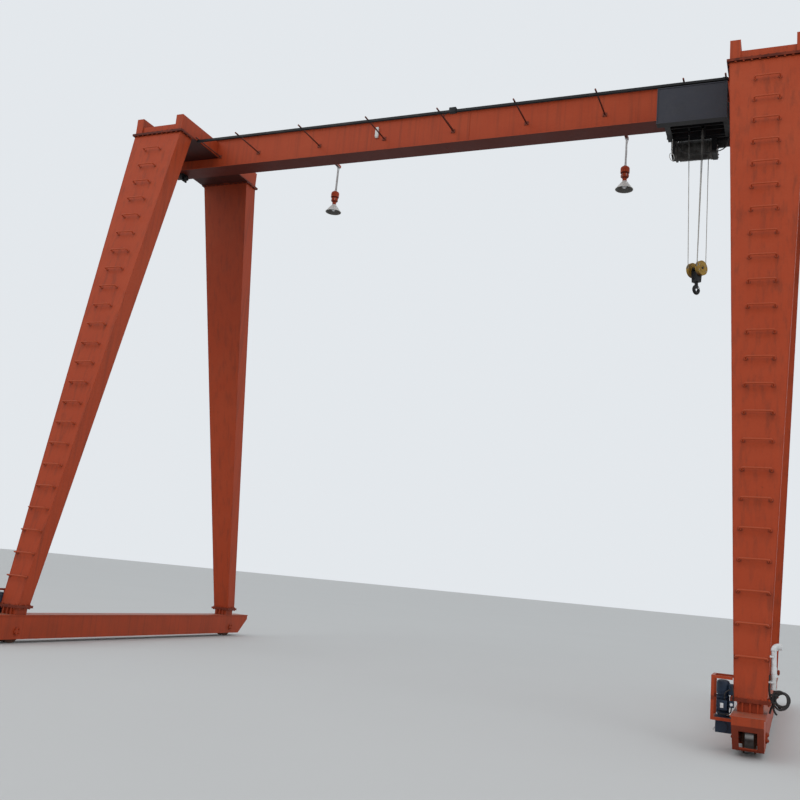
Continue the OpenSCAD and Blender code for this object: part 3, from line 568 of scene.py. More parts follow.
@dataclass(frozen=True)
class BareSteel(Finish):
    """Machined, rolled or galvanised steel.

    Attributes:
        colour: clean metal.
        tarnish: dark film or rust on it.
        spread: share that is tarnished.
        rough: roughness of the clean metal.
        spangle: draw the crystals of a zinc coat.
        metal: metallic share of the clean metal.
    """

    colour: RGB = (0.50, 0.50, 0.51)
    tarnish: RGB = (0.10, 0.065, 0.045)
    spread: float = 0.5
    rough: float = 0.34
    spangle: bool = False
    metal: float = 1.0

    CRYSTALS = (0.34, 0.35, 0.36)

    def material(self) -> Material:
        """Build the material.

        Returns:
            The finished material.
        """
        g = ShaderGraph(self.name)
        cloudy = g.noise(11.0, 5.0, 0.65)
        fine = g.noise(120.0, 4.0, 0.6, shift=(2.0, 4.0, 6.0))
        stained = (cloudy.step(0.40, 0.70) * self.spread + fine.step(0.55, 0.8) * 0.2).clamp()
        colour = g.blend(stained, self.colour, self.tarnish)
        if self.spangle:
            shade = g.node("ShaderNodeSeparateColor", {}, {0: g.cells(160.0, "Color")})
            colour = g.blend(shade * 0.35, colour, self.CRYSTALS)
        metal = self.metal - stained * 0.85 * self.metal
        rough = (self.rough + stained * 0.38 + fine * 0.12).clamp()
        return g.finish(colour, rough, metal.clamp(), fine * 0.4 + cloudy * 0.2, 0.0008)


@dataclass(frozen=True)
class CastIron(Finish):
    """Rusted casting with a rolling surface polished by the rail.

    Attributes:
        middle: the wheel's centre.
        tread_radius: radius of the polished surface.
        half_tread: half of its width.
    """

    middle: Vector
    tread_radius: float = 0.131
    half_tread: float = 0.037

    RUST, OLD_RUST, POLISHED = (0.16, 0.055, 0.022), (0.055, 0.026, 0.017), (0.44, 0.43, 0.42)

    def material(self) -> Material:
        """Build the material.

        Returns:
            The finished material.
        """
        g = ShaderGraph(self.name)
        cloudy = g.noise(14.0, 5.0, 0.66)
        fine = g.noise(150.0, 4.0, 0.7, shift=(1.0, 2.0, 8.0))
        dx, dy, dz = (g.axis(name) - place for name, place in zip("XYZ", self.middle))
        radius = (dy * dy + dz * dz).math("SQRT")
        inside = abs(dx).step(self.half_tread + 0.004, self.half_tread - 0.004)
        tread = radius.step(self.tread_radius - 0.004, self.tread_radius - 0.001) * inside
        shiny = (tread * (0.75 + fine * 0.25)).clamp()
        colour = g.blend(shiny, g.blend(cloudy, self.RUST, self.OLD_RUST), self.POLISHED)
        rough = (0.82 - shiny * 0.52 - cloudy * 0.08).clamp()
        return g.finish(colour, rough, shiny * 0.95, fine * (1.0 - shiny) * 0.6, 0.0012)


@dataclass(frozen=True)
class WireRope(Finish):
    """Stranded wire rope, greased, with the lay of its strands, and painted shade on the falls under the hoist.

    Attributes:
        grease: how far black grease covers the wires.
        greased_and_shaded_above: height above which the falls are drawn black: grease from the sheaves, and painted
            shade under the hoist.
    """

    grease: float = 0.0
    greased_and_shaded_above: float = 6.72

    CLEAN, DIRTY = (0.60, 0.59, 0.55), (0.24, 0.21, 0.165)
    GAPS, BLACK = (0.14, 0.13, 0.115), (0.012, 0.0105, 0.009)

    def material(self) -> Material:
        """Build the material.

        Returns:
            The finished material.
        """
        g = ShaderGraph(self.name)
        fine = g.noise(240.0, 3.0, 0.6)
        wires = g.node("ShaderNodeTexWave", {"wave_type": "BANDS", "bands_direction": "DIAGONAL"},
                       {"Vector": g.coords, "Scale": 900.0, "Distortion": 0.6}, "Fac")
        dirty = g.noise(9.0, 4.0, 0.6, shift=(4.0, 0.0, 1.0)).step(0.35, 0.7)
        colour = g.blend(dirty * 0.35 + fine * 0.2, self.CLEAN, self.DIRTY)
        colour = g.blend(wires * 0.20, colour, self.GAPS)
        # painted shade: the falls turn black above this height, where they hang in the hoist's shade; the black also
        # stands for grease
        run = g.axis("Z").step(self.greased_and_shaded_above - 0.06, self.greased_and_shaded_above + 0.08) * 0.9
        grease_and_shade = ((dirty * 0.12 + 0.88) * run.math("MAXIMUM", self.grease)).clamp()
        colour = g.blend(grease_and_shade, colour, self.BLACK)
        metal = (0.30 - grease_and_shade * 0.30).clamp()
        return g.finish(colour, 0.42 + dirty * 0.2, metal, wires * 0.6 + fine * 0.2, 0.0006)


@dataclass(frozen=True)
class Moulding(Finish):
    """Plastic, rubber or enamel of one colour, dusty and slightly uneven, with painted shade on faces that look down.

    Attributes:
        colour: the clean surface.
        soiling_and_shade: what collects on it, and the colour of the painted shade on faces that look down.
        rough: roughness of the clean surface.
        dirt_and_shade: strength of the soiling and of the painted shade.
    """

    colour: RGB
    soiling_and_shade: RGB
    rough: float
    dirt_and_shade: float

    def material(self) -> Material:
        """Build the material.

        Returns:
            The finished material.
        """
        g = ShaderGraph(self.name)
        cloudy = g.noise(16.0, 5.0, 0.62)
        fine = g.noise(180.0, 3.0, 0.6, shift=(5.0, 1.0, 2.0))
        runs = g.noise(1.0, 4.0, 0.6, (70.0, 70.0, 6.0))
        # soiling, with a term of painted shade on faces that look down
        soil = ((cloudy.step(0.40, 0.78) + runs.step(0.50, 0.75) * 0.7 + g.up().step(-0.2, -0.9) * 0.2)
                * self.dirt_and_shade).clamp()
        colour = g.blend(soil, self.colour, self.soiling_and_shade)
        rough = (self.rough + soil * 0.25 + fine * 0.06).clamp()
        return g.finish(colour, rough, 0.0, fine * 0.4 + cloudy * 0.2, 0.0006)


# mesh tools


def link(made: bpy.types.Object) -> bpy.types.Object:
    """Put an object into the scene."""
    bpy.context.scene.collection.objects.link(made)
    return made


def arc(middle: Vector, first: Vector, second: Vector, radius: float, steps: int,
        sweep: float = math.tau) -> list[Vector]:
    """Points on an arc.

    Args:
        middle: its centre.
        first: unit direction where it starts.
        second: unit direction a quarter turn on.
        radius: its radius.
        steps: pieces that it is cut into.
        sweep: angle from the first to the last point.

    Returns:
        One point more than steps.
    """
    angles = (sweep * k / steps for k in range(steps + 1))
    return [middle + (first * math.cos(a) + second * math.sin(a)) * radius for a in angles]


def ring_profile(inner: float, width: float, height: float, low: float = 0.0) -> Profile:
    """Outline of a flat ring, to be turned about an axis."""
    return ((inner, low), (inner + width, low), (inner + width, low + height), (inner, low + height))


class Solid:
    """Geometry of one piece, modelled about a movable origin.

    Attributes:
        at: the origin of the next shapes.
    """

    def __init__(self, at: Point = (0.0, 0.0, 0.0)) -> None:
        """Start empty at an origin."""
        self.bm, self.at = bmesh.new(), Vector(at)

    def box(self, low: Point, high: Point, bevel: float = 0.0) -> None:
        """Add a box with worked edges.

        Args:
            low: its lowest corner.
            high: its highest corner.
            bevel: width of the rounded edges.
        """
        size, middle = Vector(high) - Vector(low), self.at + (Vector(high) + Vector(low)) / 2
        place = Matrix.Translation(middle) @ Matrix.Diagonal((*size, 1.0))
        made = bmesh.ops.create_cube(self.bm, size=1.0, matrix=place)
        if bevel > 0.0:
            edges = list({e for v in made["verts"] for e in v.link_edges})
            bmesh.ops.bevel(self.bm, geom=edges, offset=bevel, segments=2, profile=0.6, affect="EDGES")

    def lathe(self, profile: Profile, place: Matrix = UPRIGHT, segments: int = 32) -> None:
        """Turn a closed outline about an axis.

        Args:
            profile: points as (radius, height); it starts and ends on the axis or closes on itself.
            place: where the axis (+Z) goes, from the origin.
            segments: facets around the axis.
        """
        place = Matrix.Translation(self.at) @ place
        rings = []
        for radius, height in profile:
            spots = arc(UP * height, RIGHT, FAR, radius, segments)[:segments if radius > 0.0 else 1]
            rings.append([self.bm.verts.new(place @ spot) for spot in spots])
        closing = [(rings[-1], rings[0])] if len(rings[0]) > 1 else []
        for lower, upper in [*zip(rings, rings[1:]), *closing]:
            for k in range(segments):
                corners = (lower[k % len(lower)], lower[(k + 1) % len(lower)],
                           upper[(k + 1) % len(upper)], upper[k % len(upper)])
                unique = list(dict.fromkeys(corners))
                if len(unique) > 2:
                    self.bm.faces.new(unique)

    def tube(self, points: list[Vector], radius: float, sides: int = 8) -> None:
        """Sweep a round section along points.

        Args:
            points: the centre line.
            radius: the tube's radius.
            sides: facets around it.
        """
        rings = []
        side = UP
        for k, point in enumerate(points):
            tangent = (points[min(k + 1, len(points) - 1)] - points[max(k - 1, 0)]).normalized()
            across = side - tangent * side.dot(tangent)
            side = (across if across.length > 1e-4 else tangent.orthogonal()).normalized()
            spots = arc(self.at + point, side, tangent.cross(side), radius, sides)[:-1]
            rings.append([self.bm.verts.new(spot) for spot in spots])
        for lower, upper in zip(rings, rings[1:]):
            for j in range(sides):
                self.bm.faces.new((lower[j - 1], lower[j], upper[j], upper[j - 1]))
        self.bm.faces.new(rings[0][::-1])
        self.bm.faces.new(rings[-1])

    def cable(self, corners: tuple[Point, ...], radius: float) -> None:
        """Lay a cable along a Catmull-Rom curve, eight pieces between two corners.

        Args:
            corners: points on the cable.
            radius: its radius.
        """
        path = [Vector(corner) for corner in corners]
        ends = [path[0], *path, path[-1]]
        curve = []
        for p0, p1, p2, p3 in zip(ends, ends[1:], ends[2:], ends[3:]):
            for t in (j / 8 for j in range(8)):
                curve.append(0.5 * ((2 * p1) + (p2 - p0) * t + (2 * p0 - 5 * p1 + 4 * p2 - p3) * t * t
                                    + (3 * p1 - p0 - 3 * p2 + p3) * t ** 3))
        self.tube([*curve, path[-1]], radius)

    def close(self, name: str, material: Material, smooth: float | None = 35.0) -> bpy.types.Object:
        """Turn the geometry into an object with one material.

        Args:
            name: the piece's name.
            material: its finish.
            smooth: angle in degrees below which edges are smooth; None keeps it flat.

        Returns:
            The object, unrotated at the frame's origin.
        """
        bmesh.ops.recalc_face_normals(self.bm, faces=self.bm.faces)
        for face in self.bm.faces:
            face.smooth = smooth is not None
        for edge in self.bm.edges:
            if smooth is not None and len(edge.link_faces) == 2 and edge.calc_face_angle(0.0) > math.radians(smooth):
                edge.smooth = False
        mesh = bpy.data.meshes.new(name)
        self.bm.to_mesh(mesh)
        self.bm.free()
        mesh.materials.append(material)
        return link(bpy.data.objects.new(name, mesh))


def guide_lines(chains: list[list[Vector]]) -> bpy.types.Mesh:
    """Make a mesh of bare edges, one chain after another.

    Args:
        chains: the points of each chain.

    Returns:
        The mesh.
    """
    edges = []
    start = 0
    for chain in chains:
        edges += [(k, k + 1) for k in range(start, start + len(chain) - 1)]
        start += len(chain)
    mesh = bpy.data.meshes.new("guide_lines")
    mesh.from_pydata([tuple(point) for chain in chains for point in chain], edges, [])
    return mesh


def guide_points(places: list[tuple[Vector, Vector]]) -> bpy.types.Mesh:
    """Guide points with an axis each.

    Args:
        places: pairs of a position and the axis that the piece takes there.

    Returns:
        The mesh, with the axis stored as an attribute.
    """
    mesh = bpy.data.meshes.new("guide_points")
    mesh.from_pydata([tuple(point) for point, _ in places], [], [])
    attribute = mesh.attributes.new("axis", "FLOAT_VECTOR", "POINT")
    for item, (_, axis) in zip(attribute.data, places):
        item.vector = axis
    return mesh


# geometry nodes


class GeoTree:
    """A Geometry Nodes tree with named inputs that ends in Realize Instances and Set Material."""

    def __init__(self, name: str, inputs: dict[str, float]) -> None:
        """Make the tree and its inputs.

        Args:
            name: the tree's name.
            inputs: named lengths and whole numbers with their values.
        """
        self.tree = bpy.data.node_groups.new(name, "GeometryNodeTree")
        self.face = self.tree.interface
        self.socket("Geometry", "Geometry")
        kinds = {key: "Int" if isinstance(value, int) else "Float" for key, value in inputs.items()}
        self.values = {self.socket(key, kind): inputs[key] for key, kind in kinds.items()}
        self.finish_key = self.socket("Finish", "Material")
        self.socket("Geometry", "Geometry", "OUTPUT")
        self.source = self.tree.nodes.new("NodeGroupInput")
        self.guide = self.source.outputs[0]

    def socket(self, name: str, kind: str, way: str = "INPUT") -> str:
        """Add a socket to the tree's face and return its identifier."""
        return self.face.new_socket(name, in_out=way, socket_type="NodeSocket" + kind).identifier

    def size(self, name: str) -> Socket:
        """One of the tree's named inputs."""
        return self.source.outputs[name]

    def node(self, kind: str, settings: dict, values: dict, output: str | int = 0) -> Socket:
        """Add any node.

        Args:
            kind: the node's type.
            settings: attributes that are set before the sockets.
            values: numbers or sockets by socket name or index; a list joins several.
            output: the output that is returned.

        Returns:
            The chosen output.
        """
        made = self.tree.nodes.new(kind)
        for key, value in settings.items():
            setattr(made, key, value)
        for key, value in values.items():
            for one in value if isinstance(value, list) else [value]:
                if isinstance(one, Socket):
                    self.tree.links.new(one, made.inputs[key])
                else:
                    made.inputs[key].default_value = one
        return made.outputs[output]

    def math(self, operation: str, *values: "Socket | float") -> Socket:
        """One Math node on sockets or numbers."""
        return self.node("ShaderNodeMath", {"operation": operation}, dict(enumerate(values)))

    def vector(self, x: "Socket | float" = 0.0, y: "Socket | float" = 0.0, z: "Socket | float" = 0.0) -> Socket:
        """A vector from sockets or numbers."""
        return self.node("ShaderNodeCombineXYZ", {}, {0: x, 1: y, 2: z})

    def lifted(self, kind: str, shape: dict, height: Socket) -> Socket:
        """A mesh primitive moved up by a height."""
        made = self.node("GeometryNodeMesh" + kind, {}, shape)
        return self.node("GeometryNodeTransform", {}, {"Geometry": made, "Translation": self.vector(z=height)})

    def rod(self, line: Socket, sides: "Socket | int", radius: Socket) -> Socket:
        """A round rod along a curve."""
        ring = self.node("GeometryNodeCurvePrimitiveCircle", {}, {"Resolution": sides, "Radius": radius})
        return self.node("GeometryNodeCurveToMesh", {}, {"Curve": line, "Profile Curve": ring, "Fill Caps": True})

    def facing(self) -> Socket:
        """Rotation that turns +Z to a guide point's axis."""
        axis = self.node("GeometryNodeInputNamedAttribute", {"data_type": "FLOAT_VECTOR"}, {"Name": "axis"})
        return self.node("FunctionNodeAlignRotationToVector", {"axis": "Z"}, {"Vector": axis})

    def turned(self, axis: Point, angle: "Socket | float") -> Socket:
        """Rotation about an axis."""
        return self.node("FunctionNodeAxisAngleToRotation", {}, {"Axis": axis, "Angle": angle})

    def copies(self, points: Socket, instance: Socket, rotation: Socket) -> Socket:
        """One instance on each point."""
        values = {"Points": points, "Instance": instance, "Rotation": rotation}
        return self.node("GeometryNodeInstanceOnPoints", {}, values)

    def close(self, geometry: Socket, smooth: float | None) -> "GeoTree":
        """End the tree.

        Args:
            geometry: what has been built.
            smooth: angle in degrees below which edges are smooth; None keeps the faces flat.

        Returns:
            The tree itself.
        """
        real = self.node("GeometryNodeRealizeInstances", {}, {"Geometry": geometry})
        if smooth is not None:
            real = self.node("GeometryNodeSetShadeSmooth", {}, {0: real, 2: True})
            angle = self.node("GeometryNodeInputMeshEdgeAngle", {}, {})
            sharp = self.node("FunctionNodeCompare", {"data_type": "FLOAT", "operation": "GREATER_THAN"},
                              {0: angle, 1: math.radians(smooth)})
            real = self.node("GeometryNodeSetShadeSmooth", {"domain": "EDGE"}, {0: real, 1: sharp, 2: False})
        dressed = self.node("GeometryNodeSetMaterial", {}, {"Geometry": real, "Material": self.size("Finish")})
        self.tree.links.new(dressed, self.tree.nodes.new("NodeGroupOutput").inputs[0])
        return self

    def apply(self, name: str, mesh: bpy.types.Mesh, material: Material) -> bpy.types.Object:
        """Run the tree on a mesh and keep the plain result.

        Args:
            name: the piece's name.
            mesh: the points or edges that guide the tree.
            material: the finish that the tree sets.

        Returns:
            A plain mesh object.
        """
        guide = link(bpy.data.objects.new(name + "_guide", mesh))
        modifier = guide.modifiers.new("build", "NODES")
        modifier.node_group = self.tree
        for identifier, value in self.values.items():
            modifier[identifier] = value
        modifier[self.finish_key] = material
        bpy.context.view_layer.update()
        depsgraph = bpy.context.evaluated_depsgraph_get()
        result = bpy.data.meshes.new_from_object(guide.evaluated_get(depsgraph))
        guide.modifiers.remove(modifier)
        bpy.data.objects.remove(guide)
        result.name = name
        return link(bpy.data.objects.new(name, result))


def bolt_tree(name: str, radius: float, height: float, washer: float) -> GeoTree:
    """Hexagon bolts with a washer and a turned end, one on each guide point.

    Args:
        name: the tree's name.
        radius: corner radius of the hexagon.
        height: height of the hexagon.
        washer: radius of the washer.

    Returns:
        The tree.
    """
    g = GeoTree(name, {"Head radius": radius, "Head height": height, "Washer radius": washer, "Seed": 7})
    head, tall = g.size("Head radius"), g.size("Head height")
    thick = g.math("MULTIPLY", tall, 0.22)
    ring = g.lifted("Cylinder", {"Vertices": 16, "Radius": g.size("Washer radius"), "Depth": thick},
                    g.math("MULTIPLY", thick, 0.5))
    nut = g.lifted("Cylinder", {"Vertices": 6, "Radius": head, "Depth": tall},
                   g.math("ADD", thick, g.math("MULTIPLY", tall, 0.5)))
    cap = g.lifted("Cone", {"Vertices": 12, "Radius Top": g.math("MULTIPLY", head, 0.42),
                            "Radius Bottom": g.math("MULTIPLY", head, 0.52),
                            "Depth": g.math("MULTIPLY", tall, 0.35)}, g.math("ADD", thick, tall))
    bolt = g.node("GeometryNodeJoinGeometry", {}, {"Geometry": [cap, nut, ring]})
    spin = g.node("FunctionNodeRandomValue", {"data_type": "FLOAT"}, {2: 0.0, 3: math.pi, "Seed": g.size("Seed")}, 1)
    turn = g.node("FunctionNodeRotateRotation", {"rotation_space": "LOCAL"},
                  {0: g.facing(), 1: g.turned((0.0, 0.0, 1.0), spin)})
    return g.close(g.copies(g.guide, bolt, turn), 25.0)


def bead_tree(name: str, radius: float, pitch: float) -> GeoTree:
    """Weld beads: rippled rods along guide edges.

    Args:
        name: the tree's name.
        radius: the bead's radius.
        pitch: distance between ripples.

    Returns:
        The tree.
    """
    g = GeoTree(name, {"Bead radius": radius, "Ripple pitch": pitch, "Ripple depth": radius * 0.22})
    line = g.node("GeometryNodeMeshToCurve", {}, {"Mesh": g.guide})
    line = g.node("GeometryNodeResampleCurve", {"mode": "LENGTH"}, {"Curve": line, "Length": g.size("Ripple pitch")})
    bead = g.rod(line, 6, g.size("Bead radius"))
    position = g.node("GeometryNodeInputPosition", {}, {})
    waves = g.node("ShaderNodeTexNoise", {}, {"Vector": position, "Scale": 60.0, "Detail": 1.0})
    push = g.math("MULTIPLY", g.math("SUBTRACT", waves, 0.5), g.math("MULTIPLY", g.size("Ripple depth"), 3.0))
    normal = g.node("GeometryNodeInputNormal", {}, {})
    offset = g.node("ShaderNodeVectorMath", {"operation": "SCALE"}, {0: normal, "Scale": push})
    return g.close(g.node("GeometryNodeSetPosition", {}, {"Geometry": bead, "Offset": offset}), 80.0)


def bent_bar_tree(name: str, radius: float, bend: float) -> GeoTree:
    """Round bar bent along guide edges, with rounded corners.

    Args:
        name: the tree's name.
        radius: the bar's radius.
        bend: radius of the bends.

    Returns:
        The tree.
    """
    g = GeoTree(name, {"Bar radius": radius, "Bend radius": bend, "Sides": 12, "Bend steps": 6})
    line = g.node("GeometryNodeMeshToCurve", {}, {"Mesh": g.guide})
    line = g.node("GeometryNodeFilletCurve", {"mode": "POLY"},
                  {"Curve": line, "Count": g.size("Bend steps"), "Radius": g.size("Bend radius")})
    return g.close(g.rod(line, g.size("Sides"), g.size("Bar radius")), 50.0)


def fin_tree(name: str, inner: float, length: float, thick: float, count: int) -> GeoTree:
    """Cooling fins around an upright axis, one set on each guide point.

    Args:
        name: the tree's name.
        inner: radius at the foot of a fin.
        length: its length along the axis.
        thick: its thickness.
        count: number of fins.

    Returns:
        The tree.
    """
    g = GeoTree(name, {"Inner radius": inner, "Fin height": 0.0095, "Fin length": length, "Fin thickness": thick,
                       "Fins": count})
    height = g.size("Fin height")
    reach = g.math("ADD", g.size("Inner radius"), g.math("MULTIPLY", height, 0.5))
    ring = g.node("GeometryNodeMeshCircle", {}, {"Vertices": g.size("Fins"), "Radius": reach})
    size = g.vector(height, g.size("Fin thickness"), g.size("Fin length"))
    fin = g.node("GeometryNodeMeshCube", {}, {"Size": size})
    out = g.node("GeometryNodeInputPosition", {}, {})
    turn = g.node("FunctionNodeAlignRotationToVector", {"axis": "X"}, {"Vector": out})
    fins = g.node("GeometryNodeRealizeInstances", {}, {"Geometry": g.copies(ring, fin, turn)})
    return g.close(g.copies(g.guide, fins, g.facing()), None)


def coil_tree(name: str, rope: float, radius: float, pitch: float, turns: int) -> GeoTree:
    """Rope laid side by side in a drum's grooves, along +X from each guide point.

    Args:
        name: the tree's name.
        rope: the rope's radius.
        radius: radius of the coil's centre line.
        pitch: distance between turns.
        turns: number of turns.

    Returns:
        The tree.
    """
    g = GeoTree(name, {"Rope radius": rope, "Coil radius": radius, "Turns": float(turns),
                       "Coil length": pitch * turns, "Steps": 56})
    coil = g.node("GeometryNodeCurveSpiral", {},
                  {"Resolution": g.size("Steps"), "Rotations": g.size("Turns"), "Height": g.size("Coil length"),
                   "Start Radius": g.size("Coil radius"), "End Radius": g.size("Coil radius")})
    turn = g.turned((0.0, 1.0, 0.0), math.pi / 2)
    return g.close(g.copies(g.guide, g.rod(coil, 8, g.size("Rope radius")), turn), 60.0)


# sub-assemblies


@dataclass
class Palette:
    """The finishes of the whole crane by name."""

    made: dict[str, Material] = field(default_factory=dict)

    GREASED = ("top_sheave", "block_sheaves", "rope_drum")
    FINISHES = (
        YardPaint("orange_paint", (0.38, 0.050, 0.014), (0.43, 0.074, 0.028), rung_marks=True),
        # painted light: a lighter copy of the orange paint, without the underside shade, so that the rungs' shaded
        # sides come out as bright as the lit legs
        YardPaint("rung_paint", (0.42, 0.068, 0.024), (0.48, 0.095, 0.040), streaks=0.10, splash_top=0.5, shade=0.0),
        YardPaint("rusty_paint", (0.17, 0.040, 0.026), (0.25, 0.075, 0.045), streaks=0.7, chips=0.9),
        YardPaint("guard_yellow", (0.36, 0.21, 0.025), (0.42, 0.27, 0.06), streaks=0.9, chips=0.8, coat=Coat.GREASY),
        MachineBlack("drive_paint", (0.016, 0.030, 0.058), (0.07, 0.065, 0.06), rust=0.35),
        MachineBlack("black_paint"),
        MachineBlack("grey_paint", (0.036, 0.037, 0.048), (0.080, 0.075, 0.075), rust=0.20, grease=0.25),
        BareSteel("bare_steel"),
        BareSteel("sheave_steel", (0.10, 0.095, 0.09), (0.016, 0.014, 0.012), 0.95, 0.45),
        BareSteel("galvanised", (0.52, 0.53, 0.53), (0.28, 0.26, 0.23), 0.30, 0.46, True, 0.35),
        Moulding("white_paint", (0.66, 0.66, 0.63), (0.24, 0.21, 0.17), 0.38, 0.35),
        Moulding("white_plastic", (0.72, 0.73, 0.74), (0.30, 0.26, 0.21), 0.36, 0.45),
        Moulding("cable_rubber", (0.014, 0.014, 0.015), (0.07, 0.055, 0.045), 0.55, 0.5),
        Moulding("lamp_glass", (0.70, 0.72, 0.74), (0.25, 0.24, 0.22), 0.12, 0.3),
        # painted shade: dark grey for the inside of the white reflectors
        Moulding("reflector_inside", (0.105, 0.10, 0.09), (0.05, 0.045, 0.04), 0.34, 0.4),
        Moulding("lamp_cord", (0.36, 0.35, 0.33), (0.18, 0.16, 0.14), 0.5, 0.4),
        WireRope("wire_rope"),
        WireRope("drum_rope", 1.0),
    )

    def build(self) -> None:
        """Make every material once."""
        self.made.update({finish.name: finish.material() for finish in self.FINISHES})

    def dress(self) -> None:
        """Give every CAD node the finish of its slot."""
        slots = {part["node"]: part["material_slot"] for part in frame["record"]["subparts"]}
        for node, obj in frame["nodes"].items():
            if slots[node] == "wheel_iron":
                material = CastIron("wheel_iron_" + node, centre(node)).material()
            else:
                material = self.made["sheave_steel" if node in self.GREASED else slots[node]]
            obj.data.materials.clear()
            obj.data.materials.append(material)
            log.info("%s dressed as %s", node, material.name)


@dataclass
class SubAssembly:
    """Pieces that take the crane's finishes and move with its bodies.

    Attributes:
        paint: the finishes by name.
    """

    paint: dict[str, Material]

    SLOTS = {"rung_paint": "orange_paint", "drum_rope": "wire_rope", "lamp_glass": "white_paint",
             "reflector_inside": "white_paint", "lamp_cord": "cable_rubber"}

    def keep(self, name: str, shape: Solid | GeoTree, finish: str, body: Body = Body.GANTRY,
             guide: bpy.types.Mesh | None = None, slot: str = "") -> bpy.types.Object:
        """Finish a piece and tie it to a body.

        Args:
            name: the piece's name.
            shape: its geometry, or the tree that makes it from the guide.
            finish: name of its finish.
            body: what it moves with.
            guide: points or edges for the tree.
            slot: the record's slot where it isn't the finish's own; not used.

        Returns:
            The piece.
        """
        args = (name, self.paint[finish]) if guide is None else (name, guide, self.paint[finish])
        piece = shape.close(*args) if isinstance(shape, Solid) else shape.apply(*args)
        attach(piece, body.value)
        log.info("%s: %d triangles", name, sum(len(f.vertices) - 2 for f in piece.data.polygons))
        return piece


@dataclass
class Ladders(SubAssembly):
    """Bent round bars welded to the outer faces of the two near legs.

    Attributes:
        bend: radius of a rung's bends.
        sunk: how far a rung's ends enter the leg's face.
        weld_ring: radius of the ring of weld round a rung's foot.
    """

    bend: float = 0.020
    sunk: float = 0.002
    weld_ring: float = 0.0105

    def chains(self, plane: float) -> list[list[Vector]]:
        """Centre lines of one leg's rungs.

        Args:
            plane: centre plane of the A-frame.

        Returns:
            Four points for each rung.
        """
        place = Matrix.Translation((plane, -LEG.top_y, LEG.top_z)) @ Matrix.Rotation(-LEG.lean, 4, "X")
        out = []
        for down in (RUNG.pitch * (k + 1) for k in range(RUNG.count)):
            leg = LEG.width(LEG.top_z - down * math.cos(LEG.lean))
            half = min(RUNG.width, leg - 2 * RUNG.edge) / 2 - RUNG.bar
            corners = [(-half, self.sunk), (-half, -RUNG.reach), (half, -RUNG.reach), (half, self.sunk)]
            out.append([place @ Vector((x, y, -down)) for x, y in corners])
        return out

    def build(self) -> None:
        """Bend the rungs and set a weld at each foot."""
        bar = bent_bar_tree("bent_rung", RUNG.bar, self.bend)
        weld = bead_tree("rung_weld", radius=0.0048, pitch=0.006)
        for side, plane in (("left", -LEG.plane), ("right", LEG.plane)):
            chains = self.chains(plane)
            rungs = self.keep("rungs_" + side, bar, "rung_paint", guide=guide_lines(chains))
            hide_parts("ladder_" + side)
            rings = []
            for foot, toward in ((chain[end], chain[end + step]) for chain in chains for end, step in ((0, 1), (3, -1))):
                axis = (toward - foot).normalized()
                first = axis.orthogonal().normalized()
                rings.append(arc(foot + axis * 2 * self.sunk, first, axis.cross(first), self.weld_ring, 10))
            self.keep("rung_welds_" + side, weld, "rung_paint", guide=guide_lines(rings))


